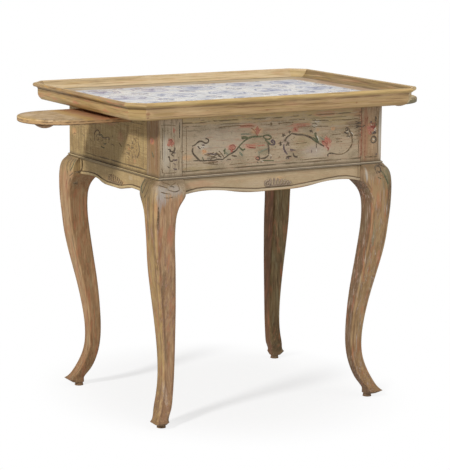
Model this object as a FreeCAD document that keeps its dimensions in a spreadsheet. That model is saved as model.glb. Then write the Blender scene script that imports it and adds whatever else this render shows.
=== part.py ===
# Tile top table on four cabriole legs, with a round-ended candle slide under each end of the top.
# Millimetres. X runs along the table, Y across it, Z up. The origin is on the floor, under the
# middle of the table. A sub-part is made for one corner or side and mirrored where the table repeats.
import math
import os
import re

import FreeCAD
import Part
import Sketcher

SIZES = {
    # The whole table
    "table_height": 760,
    "end_overhang": 93,
    "side_overhang": 46,
    # Tray rim: eight mitred lengths of moulding round the tiled surface
    "corner_cut": 36,
    "rim_height": 41,
    "rim_width": 28,
    "tray_depth": 20,
    "rim_foot_inset": 20,
    "rim_quirk_inset": 11,
    "rim_quirk_height": 17,
    "rim_bead_radius": 5,
    "ovolo_radius": 20,
    "cavetto_radius": 30,
    "rim_lip": 3,
    # Boards and tiles
    "tile_pitch": 130,
    "tile_joint": 1.6,
    "tile_thickness": 8,
    "tile_edge": 1.2,
    "tile_rows": 3,
    "tile_columns": 5,
    "end_margin_width": 42,
    "side_margin_width": 53,
    "margin_thickness": 10,
    "tongue_thickness": 4,
    "tongue_depth": 5,
    # Frieze and aprons
    "frieze_height": 134.5,
    "rail_thickness": 22,
    "bead_height": 6,
    "bead_proud": 3.5,
    "bead_round": 2.6,
    "joint_drop": 44.5,
    "front_arch_lift": 7.5,
    "front_drop": 13,
    "front_arch_run": 62,
    "front_flat": 45,
    "end_arch_lift": 3.5,
    "end_drop": 10.5,
    "end_arch_run": 74,
    "end_flat": 30,
    "border_width": 7,
    "ground_depth": 1.5,
    "tenon_thickness": 10,
    "tenon_length": 26,
    "tenon_setback": 6,
    "tenon_shoulder": 15,
    "end_tenon_height": 108,
    "fit_clearance": 0.15,
    # Legs
    "post_size": 58,
    "knee_sweep": 21.5,
    "ankle_sweep": 25,
    "toe_sweep": 14,
    "toe_height": 16,
    "toe_lift": 8.5,
    "leg_round": 5,
    "peg_radius": 10.8,
    "peg_neck_radius": 8.5,
    "peg_setback": 14.5,
    # Carved shells on the aprons
    "shell_offset": 16.5,
    "shell_scroll_radius": 6.5,
    "shell_scroll_rib": 2.1,
    "shell_ledge_rib": 1.6,
    "shell_root_radius": 1.4,
    "shell_tip_radius": 2.6,
    "shell_petals": 7,
    "shell_petal_pitch": 7.8,
    "shell_petal_length": 15,
    "shell_first_lean": -8,
    "shell_last_lean": 56,
    "shell_rise": 4,
    # Candle slides
    "slide_width": 196,
    "slide_thickness": 12.5,
    "slide_headroom": 9.5,
    "slide_draw": 247.5,
    "left_slide_back": 13.5,
    "slide_length": 350,
    "slide_round": 3,
    "slide_clearance": 0.5,
    "left_knob_inset": 60,
    "right_knob_inset": 34,
    "knob_radius": 22,
    "knob_neck_radius": 13,
    "knob_neck_height": 2.5,
    "knob_rim_height": 8,
    "knob_height": 16,
    "knob_shoulder_radius": 14,
    "knob_tenon_radius": 6,
    "knob_tenon_length": 8,
    "stop_radius": 4,
    "stop_drop": 11,
    "stop_spacing": 120,
    "guide_width": 32,
    "guide_overlap": 12,
    "guide_ledge": 9,
    # Glue blocks inside the frieze
    "glue_block_length": 50,
    "glue_block_size": 18,
    # One overrun for all cuts
    "overrun": 5,
}

# The tiles set the top's size, and the top sets the frame's
TRAY_LENGTH = "(tile_pitch * tile_columns + 2 * end_margin_width)"
TRAY_WIDTH = "(tile_pitch * tile_rows + 2 * side_margin_width)"
TOP_LENGTH = f"({TRAY_LENGTH} + 2 * rim_width)"
TOP_WIDTH = f"({TRAY_WIDTH} + 2 * rim_width)"
FRAME_LENGTH = f"({TOP_LENGTH} - 2 * end_overhang)"
FRAME_WIDTH = f"({TOP_WIDTH} - 2 * side_overhang)"
HALF_LENGTH = f"({FRAME_LENGTH} / 2)"
HALF_WIDTH = f"({FRAME_WIDTH} / 2)"
INNER_LENGTH = f"({HALF_LENGTH} - rail_thickness)"
INNER_WIDTH = f"({HALF_WIDTH} - rail_thickness)"
TRAY_HALF_LENGTH = f"({TRAY_LENGTH} / 2)"
TRAY_HALF_WIDTH = f"({TRAY_WIDTH} / 2)"
TRAY_CUT = "(corner_cut - rim_width * (2 - sqrt(2)))"
FIELD_HALF_LENGTH = "(tile_pitch * tile_columns / 2)"
FIELD_HALF_WIDTH = "(tile_pitch * tile_rows / 2)"

# Levels above the floor
RIM_BASE = "(table_height - rim_height)"
TRAY_LEVEL = "(table_height - tray_depth)"
FRIEZE_BASE = "(table_height - rim_height - frieze_height)"
BEAD_BASE = "(table_height - rim_height - frieze_height - bead_height)"
JOINT_LEVEL = "(table_height - rim_height - frieze_height - joint_drop)"
BOARD_LEVEL = "(table_height - tray_depth - margin_thickness)"
SLIDE_TOP = "(table_height - rim_height - slide_headroom)"
SLIDE_BASE = "(table_height - rim_height - slide_headroom - slide_thickness)"

# Height of each leg section as a share of the knee top's height; how far its outer corner lies
# outside (+) or inside (-) the frieze corner as a share of the knee's sweep (+) or the ankle's (-);
# how far its inner faces lie from the frieze corner as a share of the post; corner radius as a
# share of the leg's rounding. Inner faces past the post's, beside the aprons, are sawn off with it.
LEG_SECTION_SHARES = [
    (1.000, 0.25, 1.050, 0.6),
    (0.984, 0.58, 1.050, 0.8),
    (0.961, 0.85, 1.050, 1.0),
    (0.935, 0.96, 1.010, 1.2),
    (0.918, 0.99, 0.895, 1.2),
    (0.897, 1.00, 0.750, 1.2),
    (0.866, 0.99, 0.633, 1.2),
    (0.821, 0.94, 0.578, 1.1),
    (0.761, 0.81, 0.578, 1.0),
    (0.674, 0.59, 0.648, 1.0),
    (0.570, 0.13, 0.758, 1.0),
    (0.458, -0.39, 0.878, 1.0),
    (0.346, -0.80, 0.955, 1.0),
    (0.242, -0.99, 0.975, 1.0),
    (0.173, -0.89, 0.920, 1.0),
    (0.112, -0.52, 0.785, 1.0),
    (0.069, -0.11, 0.615, 1.0),
]

# The toe's own sections: name, height as a share of the toe's height, how far its outer corner lies
# outside as a share of the toe's sweep, its inner faces as a share of the post, and its rounding
# next to the arris and at its sides as shares of the leg's rounding.
TOE_SECTION_SHARES = [
    ("toe_top", 1.50, 0.43, 0.46, 0.9, 1.7),
    ("toe_tip", 1.00, 1.00, 0.43, 0.9, 2.4),
    ("toe_base", 0.53, 0.20, 0.43, 0.9, 2.2),
]
# Height of the peg as a share of the toe's lift: the rest of it is inside the toe.
PEG_HEIGHT_SHARE = 1.5

doc = FreeCAD.newDocument("tile_top_table")
sheet = doc.addObject("Spreadsheet::Sheet", "sizes")
for row, (alias, value) in enumerate(SIZES.items(), start=1):
    sheet.set(f"A{row}", str(value))
    sheet.setAlias(f"A{row}", alias)
doc.recompute()

nodes = []


def in_sheet(text):
    """The expression with each size's name pointed at the sheet."""
    return re.sub(r"[A-Za-z_]\w*", lambda word: f"sizes.{word[0]}" if word[0] in SIZES else word[0], text)


def number(text):
    """The present value of an expression in the sheet's sizes."""
    return float(sheet.evalExpression(in_sheet(text)))


def bind(item, **properties):
    """Bind properties to expressions in the sheet's sizes."""
    for name, text in properties.items():
        item.setExpression(name.replace("__", "."), in_sheet(text))


def place(item, x="0", y="0", z="0"):
    """Bind the placement's position."""
    for axis, text in zip("xyz", (x, y, z)):
        if text != "0":
            item.setExpression(f"Placement.Base.{axis}", in_sheet(text))


def keep(item, name):
    """Mark an object as one of the table's pieces."""
    item.Label = name
    nodes.append(item)
    return item


def turned(degrees, axis=(0, 0, 1)):
    """A rotation about an axis through the origin."""
    return FreeCAD.Placement(FreeCAD.Vector(), FreeCAD.Rotation(FreeCAD.Vector(axis), degrees))


def box(name, length, width, height, x="0", y="0", z="0"):
    item = doc.addObject("Part::Box", name)
    bind(item, Length=length, Width=width, Height=height)
    place(item, x, y, z)
    return item


def cylinder(name, radius, height, x="0", y="0", z="0"):
    item = doc.addObject("Part::Cylinder", name)
    bind(item, Radius=radius, Height=height)
    place(item, x, y, z)
    return item


def fuse(name, items):
    item = doc.addObject("Part::MultiFuse", name)
    item.Shapes = items
    return item


def cut(name, base, tool):
    item = doc.addObject("Part::Cut", name)
    item.Base = base
    item.Tool = tool
    return item


def group(name, items):
    item = doc.addObject("Part::Compound", name)
    item.Links = items
    return item


def mirrored(name, source, x=0, y=0):
    """The same piece on the other side of the middle plane with this normal."""
    item = doc.addObject("Part::Mirroring", name)
    item.Source = source
    item.Normal = FreeCAD.Vector(x, y, 0)
    return keep(item, name)


def draw(sketch, corners):
    """Draw a closed outline and bind every corner of it.

    A corner is (x, y), or (x, y, radius) where an arc leads on to the next corner. The arc turns
    left for a radius and right for one with "right" behind it.
    """
    spots = [FreeCAD.Vector(number(corner[0]), number(corner[1]), 0) for corner in corners]
    ends = []
    for index, corner in enumerate(corners):
        here = spots[index]
        there = spots[(index + 1) % len(spots)]
        if len(corner) == 2:
            line = sketch.addGeometry(Part.LineSegment(here, there), False)
            ends.append((line, 1, 2))
            continue
        radius = number(corner[2])
        left = len(corner) == 3
        chord = there - here
        rise = math.sqrt(radius ** 2 - (chord.Length / 2) ** 2)
        side = FreeCAD.Vector(-chord.y, chord.x, 0).normalize() * (rise if left else -rise)
        centre = (here + there) / 2 + side
        first, last = (here, there) if left else (there, here)
        start = math.atan2(first.y - centre.y, first.x - centre.x)
        finish = math.atan2(last.y - centre.y, last.x - centre.x)
        circle = Part.Circle(centre, FreeCAD.Vector(0, 0, 1), radius)
        arc = sketch.addGeometry(Part.ArcOfCircle(circle, start, finish), False)
        ends.append((arc, 1, 2) if left else (arc, 2, 1))
        held = sketch.addConstraint(Sketcher.Constraint("Radius", arc, radius))
        sketch.setExpression(f"Constraints[{held}]", in_sheet(corner[2]))
    for index, corner in enumerate(corners):
        item, start, _ = ends[index]
        before, _, finish = ends[index - 1]
        sketch.addConstraint(Sketcher.Constraint("Coincident", before, finish, item, start))
        hold(sketch, item, start, "DistanceX", -2, spots[index].x, corner[0])
        hold(sketch, item, start, "DistanceY", -1, spots[index].y, corner[1])


def hold(sketch, item, point, kind, axis, value, text):
    """Bind one coordinate of a sketch point, or put the point on the axis where it is zero."""
    if abs(value) < 1e-9:
        sketch.addConstraint(Sketcher.Constraint("PointOnObject", item, point, axis))
        return
    held = sketch.addConstraint(Sketcher.Constraint(kind, -1, 1, item, point, value))
    sketch.setExpression(f"Constraints[{held}]", in_sheet(text))


def body(name):
    return doc.addObject("PartDesign::Body", name)


def face_sketch(owner, plane, corners, offset="0"):
    """A sketch on one of the body's own planes, moved along that plane's normal."""
    sketch = owner.newObject("Sketcher::SketchObject", f"{owner.Name}_outline")
    support = [item for item in owner.Origin.OriginFeatures if item.Role == plane][0]
    sketch.AttachmentSupport = [(support, "")]
    sketch.MapMode = "FlatFace"
    if offset != "0":
        sketch.setExpression("AttachmentOffset.Base.z", in_sheet(offset))
    draw(sketch, corners)
    return sketch


def pad(owner, plane, corners, length, offset="0", back=False, middle=False):
    """Pad an outline drawn on one of the body's planes."""
    feature = owner.newObject("PartDesign::Pad", f"{owner.Name}_pad")
    feature.Profile = face_sketch(owner, plane, corners, offset)
    feature.Reversed = back
    feature.SideType = "Symmetric" if middle else "One side"
    bind(feature, Length=length)
    doc.recompute()
    return feature


def pocket(owner, plane, corners, length, offset="0", back=False, middle=False):
    """Cut an outline into the body, and make sure that it takes wood away."""
    before = owner.Shape.Volume
    feature = owner.newObject("PartDesign::Pocket", f"{owner.Name}_pocket")
    feature.Profile = face_sketch(owner, plane, corners, offset)
    feature.Reversed = back
    feature.SideType = "Symmetric" if middle else "One side"
    bind(feature, Length=length)
    doc.recompute()
    if owner.Shape.Volume >= before:
        raise RuntimeError(f"{feature.Name} cuts nothing")
    return feature


def rectangle(left, low, right, high):
    return [(left, low), (right, low), (right, high), (left, high)]


def rounded_square(low, high, near, side):
    """A square from low to high both ways, with its near corner and its side corners rounded."""
    return [
        (f"{low} + {near}", low), (f"{high} - {side}", low, side),
        (high, f"{low} + {side}"), (high, f"{high} - {near}", near),
        (f"{high} - {near}", high), (f"{low} + {side}", high, side),
        (low, f"{high} - {side}"), (low, f"{low} + {near}", near),
    ]


# Cabriole legs

def leg_section(index, height, low, high, near, side):
    """One square section of the leg, seen from above, measured from the frieze corner."""
    sketch = doc.addObject("Sketcher::SketchObject", f"leg_section_{index}")
    place(sketch, f"-{HALF_LENGTH}", f"-{HALF_WIDTH}", height)
    draw(sketch, rounded_square(low, high, near, side))
    return sketch


def leg_loft(name, sections, ruled):
    item = doc.addObject("Part::Loft", name)
    item.Sections = sections
    item.Solid = True
    item.Ruled = ruled
    return item


def cabriole_leg():
    """Post, knee, ankle, toe and peg, carved from one piece, with mortises for two rails."""
    sections = []
    for index, (height, sweep, depth, rounding) in enumerate(LEG_SECTION_SHARES):
        reach = "knee_sweep" if sweep > 0 else "ankle_sweep"
        corner = f"leg_round * {rounding}"
        sections.append(leg_section(index, f"{BEAD_BASE} * {height}", f"(0 - {reach} * {sweep})",
                                    f"post_size * {depth}", corner, corner))
    for name, height, sweep, depth, near, side in TOE_SECTION_SHARES:
        sections.append(leg_section(name, f"toe_height * {height}", f"(0 - toe_sweep * {sweep})",
                                    f"post_size * {depth}", f"leg_round * {near}", f"leg_round * {side}"))
    shaft = leg_loft("leg_shaft", sections[:-1], False)
    toe = leg_loft("leg_toe", sections[-2:], True)
    blank_size = "(post_size + knee_sweep + overrun)"
    blank = box("leg_blank", blank_size, blank_size, BEAD_BASE,
                f"post_size - {blank_size} - {HALF_LENGTH}", f"post_size - {blank_size} - {HALF_WIDTH}")
    sawn = doc.addObject("Part::Common", "leg_sawn")
    sawn.Base = shaft
    sawn.Tool = blank
    post = box("leg_post", "post_size", "post_size", f"{RIM_BASE} - {BEAD_BASE}",
               f"-{HALF_LENGTH}", f"-{HALF_WIDTH}", BEAD_BASE)
    peg = doc.addObject("Part::Cone", "leg_peg")
    bind(peg, Radius1="peg_radius", Radius2="peg_neck_radius", Height=f"toe_lift * {PEG_HEIGHT_SHARE}")
    place(peg, f"peg_setback - {HALF_LENGTH}", f"peg_setback - {HALF_WIDTH}")
    whole = fuse("leg_whole", [sawn, toe, post, peg])
    mortise_length = "(tenon_length + fit_clearance)"
    mortise_width = "(tenon_thickness + 2 * fit_clearance)"
    mortise_low = f"{FRIEZE_BASE} - tenon_shoulder - fit_clearance"
    setback = "(tenon_setback - fit_clearance)"
    front_mortise = box("front_mortise", f"{mortise_length} + overrun", mortise_width,
                        f"{RIM_BASE} - {FRIEZE_BASE} + 2 * fit_clearance",
                        f"post_size - {mortise_length} - {HALF_LENGTH}",
                        f"{setback} - {HALF_WIDTH}", mortise_low)
    end_mortise = box("end_mortise", mortise_width, f"{mortise_length} + overrun",
                      "end_tenon_height + 2 * fit_clearance",
                      f"{setback} - {HALF_LENGTH}",
                      f"post_size - {mortise_length} - {HALF_WIDTH}", mortise_low)
    return cut("front_left_leg", whole, fuse("leg_mortises", [front_mortise, end_mortise]))


leg = keep(cabriole_leg(), "front_left_leg")
mirrored("front_right_leg", leg, x=1)
back_left_leg = mirrored("back_left_leg", leg, y=1)
mirrored("back_right_leg", back_left_leg, x=1)


# Rails, each with its serpentine apron

def apron_curve(half, kind, lift, inset):
    """The lower edge from left to right: an arch at each end and a drop in the middle."""
    arch_run = f"({kind}_arch_run - {inset})"
    arch_radius = f"(({kind}_arch_run ^ 2 + {kind}_arch_lift ^ 2) / (2 * {kind}_arch_lift))"
    fall_run = f"(({half} - {kind}_arch_run - {kind}_flat) / 2)"
    fall_radius = f"(({fall_run} ^ 2 + ({kind}_drop / 2) ^ 2) / {kind}_drop)"
    top = f"({JOINT_LEVEL} + {kind}_arch_lift + {lift})"
    end_level = f"({top} - {arch_radius} + sqrt({arch_radius} ^ 2 - {arch_run} ^ 2))"
    arch = f"({half} - {kind}_arch_run)"
    turn = f"({kind}_flat + {fall_run})"
    low = f"({top} - {kind}_drop)"
    half_way = f"({top} - {kind}_drop / 2)"
    return [
        (f"0 - ({half} - {inset})", end_level, arch_radius, "right"),
        (f"0 - {arch}", top, fall_radius, "right"),
        (f"0 - {turn}", half_way, fall_radius),
        (f"0 - {kind}_flat", low),
        (f"{kind}_flat", low, fall_radius),
        (turn, half_way, fall_radius, "right"),
        (arch, top, arch_radius, "right"),
        (f"{half} - {inset}", end_level),
    ]


def rail(name, plane, half, kind, face, inward, tenon_top):
    """A frieze rail and its apron in one board, with a tenon at each end.

    face is how far the outer face lies along the plane's normal, and inward says whether wood
    lies on the far side of the plane's normal.
    """
    item = body(name)
    outline = apron_curve(half, kind, "0", "0") + [(half, RIM_BASE), (f"0 - {half}", RIM_BASE)]
    pad(item, plane, outline, "rail_thickness", face, back=inward)
    border = apron_curve(half, kind, "border_width", "border_width")
    border += [(f"{half} - border_width", BEAD_BASE), (f"border_width - {half}", BEAD_BASE)]
    pocket(item, plane, border, "ground_depth", face, back=not inward)
    reach = f"({half} + tenon_length)"
    tongue = rectangle(f"0 - {reach}", f"{FRIEZE_BASE} - tenon_shoulder", reach, tenon_top)
    seat = f"{face} - tenon_setback" if inward else f"{face} + tenon_setback"
    pad(item, plane, tongue, "tenon_thickness", seat, back=inward)
    return item


front_rail = rail("front_rail", "XZ_Plane", f"({HALF_LENGTH} - post_size)", "front", HALF_WIDTH, True,
                  f"{RIM_BASE} - tenon_shoulder")
keep(front_rail, "front_rail")
mirrored("back_rail", front_rail, y=1)

end_rail = rail("left_end_rail", "YZ_Plane", f"({HALF_WIDTH} - post_size)", "end",
                f"0 - {HALF_LENGTH}", False, f"{FRIEZE_BASE} - tenon_shoulder + end_tenon_height")
slot_half = "(slide_width / 2 + slide_clearance)"
slot = rectangle(f"0 - {slot_half}", f"{SLIDE_BASE} - slide_clearance",
                 slot_half, f"{SLIDE_TOP} + slide_clearance")
pocket(end_rail, "YZ_Plane", slot, "2 * rail_thickness", f"0 - {HALF_LENGTH} - overrun", back=True)
keep(end_rail, "left_end_rail")
mirrored("right_end_rail", end_rail, x=1)


# Bead between frieze and apron, mitred round the frame

def bead(name, half, degrees, x, y):
    item = body(name)
    outer = f"({half} + bead_proud)"
    plan = [(f"0 - {outer}", "0 - bead_proud"), (outer, "0 - bead_proud"), (half, "0"), (f"0 - {half}", "0")]
    strip = pad(item, "XY_Plane", plan, "bead_height")
    edges = []
    for index, edge in enumerate(strip.Shape.Edges, start=1):
        ends = [vertex.Point for vertex in edge.Vertexes]
        along = abs(ends[0].x - ends[1].x) > number(half)
        if along and all(point.y < number("0 - bead_proud / 2") for point in ends):
            edges.append(f"Edge{index}")
    fillet = item.newObject("PartDesign::Fillet", f"{name}_fillet")
    fillet.Base = (strip, edges)
    bind(fillet, Radius="bead_round")
    item.Placement = turned(degrees)
    place(item, x, y, BEAD_BASE)
    return keep(item, name)


bead("front_bead", HALF_LENGTH, 0, "0", f"0 - {HALF_WIDTH}")
bead("right_bead", HALF_WIDTH, 90, HALF_LENGTH, "0")
bead("back_bead", HALF_LENGTH, 180, "0", HALF_WIDTH)
bead("left_bead", HALF_WIDTH, 270, f"0 - {HALF_LENGTH}", "0")


# Tray rim

def rim_moulding(name, half, degrees, x, y):
    """One straight length: its outer edge lies on local Y = 0 and its ends are mitred."""
    item = body(name)
    inner = f"({half} - rim_width * tan(22.5))"
    plan = [(f"0 - {half}", "0"), (half, "0"), (inner, "rim_width"), (f"0 - {inner}", "rim_width")]
    pad(item, "XY_Plane", plan, "rim_height")
    bead_base = "(rim_height - 2 * rim_bead_radius)"
    cove_radius = "(rim_quirk_inset - rim_bead_radius)"
    outside = [
        ("0 - overrun", "0 - overrun"),
        ("rim_foot_inset", "0 - overrun"),
        ("rim_foot_inset", "0", "ovolo_radius", "right"),
        ("rim_quirk_inset", "rim_quirk_height"),
        ("rim_quirk_inset", f"{bead_base} - {cove_radius}", cove_radius),
        ("rim_bead_radius", bead_base, "rim_bead_radius", "right"),
        ("0", "rim_height - rim_bead_radius", "rim_bead_radius", "right"),
        ("rim_bead_radius", "rim_height"),
        ("rim_bead_radius", "rim_height + overrun"),
        ("0 - overrun", "rim_height + overrun"),
    ]
    pocket(item, "YZ_Plane", outside, TOP_LENGTH, middle=True)
    inside = [
        ("rim_bead_radius + rim_lip", "rim_height", "cavetto_radius"),
        ("rim_width", "rim_height - tray_depth"),
        ("rim_width + overrun", "rim_height - tray_depth"),
        ("rim_width + overrun", "rim_height + overrun"),
        ("rim_bead_radius + rim_lip", "rim_height + overrun"),
    ]
    pocket(item, "YZ_Plane", inside, TOP_LENGTH, middle=True)
    item.Placement = turned(degrees)
    place(item, x, y, RIM_BASE)
    return keep(item, name)


half_side = f"({TOP_LENGTH} / 2 - corner_cut)"
half_end = f"({TOP_WIDTH} / 2 - corner_cut)"
half_corner = "(corner_cut / sqrt(2))"
corner_x = f"({TOP_LENGTH} / 2 - corner_cut / 2)"
corner_y = f"({TOP_WIDTH} / 2 - corner_cut / 2)"
rim_moulding("front_rim", half_side, 0, "0", f"0 - {TOP_WIDTH} / 2")
rim_moulding("front_right_corner_rim", half_corner, 45, corner_x, f"0 - {corner_y}")
rim_moulding("right_rim", half_end, 90, f"{TOP_LENGTH} / 2", "0")
rim_moulding("back_right_corner_rim", half_corner, 135, corner_x, corner_y)
rim_moulding("back_rim", half_side, 180, "0", f"{TOP_WIDTH} / 2")
rim_moulding("back_left_corner_rim", half_corner, 225, f"0 - {corner_x}", corner_y)
rim_moulding("left_rim", half_end, 270, f"0 - {TOP_LENGTH} / 2", "0")
rim_moulding("front_left_corner_rim", half_corner, 315, f"0 - {corner_x}", f"0 - {corner_y}")


# Boards under the tiles and the wooden margin round them

def edge_board(name, inner, thickness, z):
    """A board along the front of the tray with its two outer corners cut off."""
    item = body(name)
    plan = [
        (f"{TRAY_CUT} - {TRAY_HALF_LENGTH}", f"0 - {TRAY_HALF_WIDTH}"),
        (f"{TRAY_HALF_LENGTH} - {TRAY_CUT}", f"0 - {TRAY_HALF_WIDTH}"),
        (TRAY_HALF_LENGTH, f"{TRAY_CUT} - {TRAY_HALF_WIDTH}"),
        (TRAY_HALF_LENGTH, f"0 - {inner}"),
        (f"0 - {TRAY_HALF_LENGTH}", f"0 - {inner}"),
        (f"0 - {TRAY_HALF_LENGTH}", f"{TRAY_CUT} - {TRAY_HALF_WIDTH}"),
    ]
    pad(item, "XY_Plane", plan, thickness, z)
    return item


board_thickness = "(rim_height - tray_depth - margin_thickness)"
plank_joint = f"({TRAY_HALF_WIDTH} / 3)"
tongue_base = f"({RIM_BASE} + ({board_thickness} - tongue_thickness) / 2)"
groove_depth = "(tongue_depth + fit_clearance)"

front_plank = edge_board("front_plank", plank_joint, board_thickness, RIM_BASE)
groove = rectangle(f"0 - {plank_joint} - {groove_depth}", f"{tongue_base} - fit_clearance",
                   f"overrun - {plank_joint}", f"{tongue_base} + tongue_thickness + fit_clearance")
pocket(front_plank, "YZ_Plane", groove, TOP_LENGTH, middle=True)
keep(front_plank, "front_plank")
mirrored("back_plank", front_plank, y=1)
plank = box("plank", f"2 * {TRAY_HALF_LENGTH}", f"2 * {plank_joint}", board_thickness,
            f"0 - {TRAY_HALF_LENGTH}", f"0 - {plank_joint}", RIM_BASE)
tongue = box("plank_tongues", f"2 * {TRAY_HALF_LENGTH}", f"2 * ({plank_joint} + tongue_depth)",
             "tongue_thickness", f"0 - {TRAY_HALF_LENGTH}", f"0 - {plank_joint} - tongue_depth", tongue_base)
keep(fuse("middle_plank", [plank, tongue]), "middle_plank")

front_margin = edge_board("front_margin", FIELD_HALF_WIDTH, "margin_thickness", BOARD_LEVEL)
keep(front_margin, "front_margin")
mirrored("back_margin", front_margin, y=1)
left_margin = box("left_margin", "end_margin_width", f"2 * {FIELD_HALF_WIDTH}",
                  "margin_thickness", f"0 - {TRAY_HALF_LENGTH}", f"0 - {FIELD_HALF_WIDTH}", BOARD_LEVEL)
keep(left_margin, "left_margin")
mirrored("right_margin", left_margin, x=1)


# Tiles on their bed, with grout between them

def tile(name, column, row):
    block = box(f"{name}_block", "tile_pitch - tile_joint", "tile_pitch - tile_joint", "tile_thickness",
                f"tile_pitch * {column} + tile_joint / 2 - {FIELD_HALF_LENGTH}",
                f"tile_pitch * {row} + tile_joint / 2 - {FIELD_HALF_WIDTH}",
                f"{TRAY_LEVEL} - tile_thickness")
    doc.recompute()
    top = block.Shape.BoundBox.ZMax
    edge = number("tile_edge")
    item = doc.addObject("Part::Chamfer", name)
    item.Base = block
    item.Edges = [(index, edge, edge) for index, line in enumerate(block.Shape.Edges, start=1)
                  if all(abs(vertex.Z - top) < edge for vertex in line.Vertexes)]
    return block, keep(item, name)


bed_thickness = "(margin_thickness - tile_thickness)"
keep(box("tile_bed", f"2 * {FIELD_HALF_LENGTH}", f"2 * {FIELD_HALF_WIDTH}", bed_thickness,
         f"0 - {FIELD_HALF_LENGTH}", f"0 - {FIELD_HALF_WIDTH}", BOARD_LEVEL), "tile_bed")
blocks = []
for row, side in enumerate(("front", "middle", "back")):
    for column in range(int(SIZES["tile_columns"])):
        blocks.append(tile(f"{side}_tile_{column + 1}", column, row)[0])
grout_slab = box("grout_slab", f"2 * {FIELD_HALF_LENGTH}", f"2 * {FIELD_HALF_WIDTH}",
                 "tile_thickness - tile_edge", f"0 - {FIELD_HALF_LENGTH}", f"0 - {FIELD_HALF_WIDTH}",
                 f"{TRAY_LEVEL} - tile_thickness")
keep(cut("tile_grout", grout_slab, group("tile_spaces", blocks)), "tile_grout")


# Carved shells at the middle of the aprons

# How much shorter the last petal is than the first, as a share of its length.
SHELL_FALL_SHARE = 0.45


def petal(name, length, angle, x, z):
    """A petal that swells from its root to a round tip and leans off the upright."""
    stalk = doc.addObject("Part::Cone", f"{name}_stalk")
    bind(stalk, Radius1="shell_root_radius", Radius2="shell_tip_radius", Height=length)
    tip = doc.addObject("Part::Sphere", f"{name}_tip")
    bind(tip, Radius="shell_tip_radius", Placement__Base__z=length)
    item = fuse(name, [stalk, tip])
    item.Placement = turned(angle, (0, 1, 0))
    place(item, x, "0", z)
    return item


def shell(name, degrees, x, y, low):
    """A rocaille shell: a hooked scroll, and petals that fall away from it along a rib."""
    scroll = doc.addObject("Part::Torus", f"{name}_scroll")
    bind(scroll, Radius1="shell_scroll_radius", Radius2="shell_scroll_rib")
    scroll.Placement = turned(90, (1, 0, 0))
    place(scroll, "0 - shell_offset", "0", "shell_scroll_radius")
    hook = petal(f"{name}_hook", "shell_scroll_radius", 0, "0 - shell_offset", "0")
    rib = cylinder(f"{name}_rib", "shell_ledge_rib", "shell_scroll_radius + shell_petals * shell_petal_pitch")
    rib.Placement = turned(90, (0, 1, 0))
    place(rib, "0 - shell_offset", "0", "0")
    parts = [scroll, hook, rib]
    count = int(SIZES["shell_petals"])
    lean = SIZES["shell_last_lean"] - SIZES["shell_first_lean"]
    for index in range(count):
        along = index / (count - 1)
        length = f"shell_petal_length * ({1 - SHELL_FALL_SHARE * along ** 2})"
        foot = f"shell_scroll_radius - shell_offset + shell_petal_pitch * {index + 0.5}"
        parts.append(petal(f"{name}_petal", length, SIZES["shell_first_lean"] + lean * along, foot, "0"))
    span = "(2 * (shell_offset + shell_petals * shell_petal_pitch))"
    backing = box(f"{name}_backing", span, span, span, f"0 - {span} / 2", "0", f"0 - {span} / 2")
    item = cut(name, fuse(f"{name}_carving", parts), backing)
    item.Placement = turned(degrees)
    place(item, x, y, low)
    return keep(item, name)


front_low = f"{JOINT_LEVEL} + front_arch_lift - front_drop + border_width + shell_rise"
end_low = f"{JOINT_LEVEL} + end_arch_lift - end_drop + border_width + shell_rise"
ground_width = f"({HALF_WIDTH} - ground_depth)"
ground_length = f"({HALF_LENGTH} - ground_depth)"
shell("front_shell", 0, "0", f"0 - {ground_width}", front_low)
shell("right_shell", 90, ground_length, "0", end_low)
shell("back_shell", 180, "0", ground_width, front_low)
shell("left_shell", 270, f"0 - {ground_length}", "0", end_low)


# Candle slides

def slide_board(side, tip):
    """A thin board with a round outer end, its top and bottom edges eased there."""
    item = body(f"{side}_slide_board")
    round_start = f"({tip} - slide_width / 2)"
    heel = f"({tip} - slide_length)"
    plan = [
        (f"0 - {round_start}", "slide_width / 2", "slide_width / 2"),
        (f"0 - {tip}", "0", "slide_width / 2"),
        (f"0 - {round_start}", "0 - slide_width / 2"),
        (f"0 - {heel}", "0 - slide_width / 2"),
        (f"0 - {heel}", "slide_width / 2"),
    ]
    board = pad(item, "XY_Plane", plan, "slide_thickness", SLIDE_BASE)
    edges = []
    for index, edge in enumerate(board.Shape.Edges, start=1):
        level = edge.BoundBox.ZLength < number("slide_round")
        if level and edge.BoundBox.XMin < number(f"0 - {round_start} - slide_round"):
            edges.append(f"Edge{index}")
    fillet = item.newObject("PartDesign::Fillet", f"{side}_slide_easing")
    fillet.Base = (board, edges)
    bind(fillet, Radius="slide_round")
    return item


def slide_knob(name):
    """A flattened turned knob with a round tenon on top."""
    item = body(name)
    dome = "((knob_radius ^ 2 + (knob_height - knob_rim_height) ^ 2) / (2 * (knob_height - knob_rim_height)))"
    profile = [
        ("0", "knob_tenon_length"),
        ("0", "0 - knob_height", dome),
        ("knob_radius", "0 - knob_rim_height", "knob_shoulder_radius"),
        ("knob_neck_radius", "0 - knob_neck_height"),
        ("knob_neck_radius", "0"),
        ("knob_tenon_radius", "0"),
        ("knob_tenon_radius", "knob_tenon_length"),
    ]
    feature = item.newObject("PartDesign::Revolution", f"{name}_turning")
    feature.Profile = face_sketch(item, "XZ_Plane", profile)
    feature.ReferenceAxis = (feature.Profile[0], ["V_Axis"])
    return keep(item, name)


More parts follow.
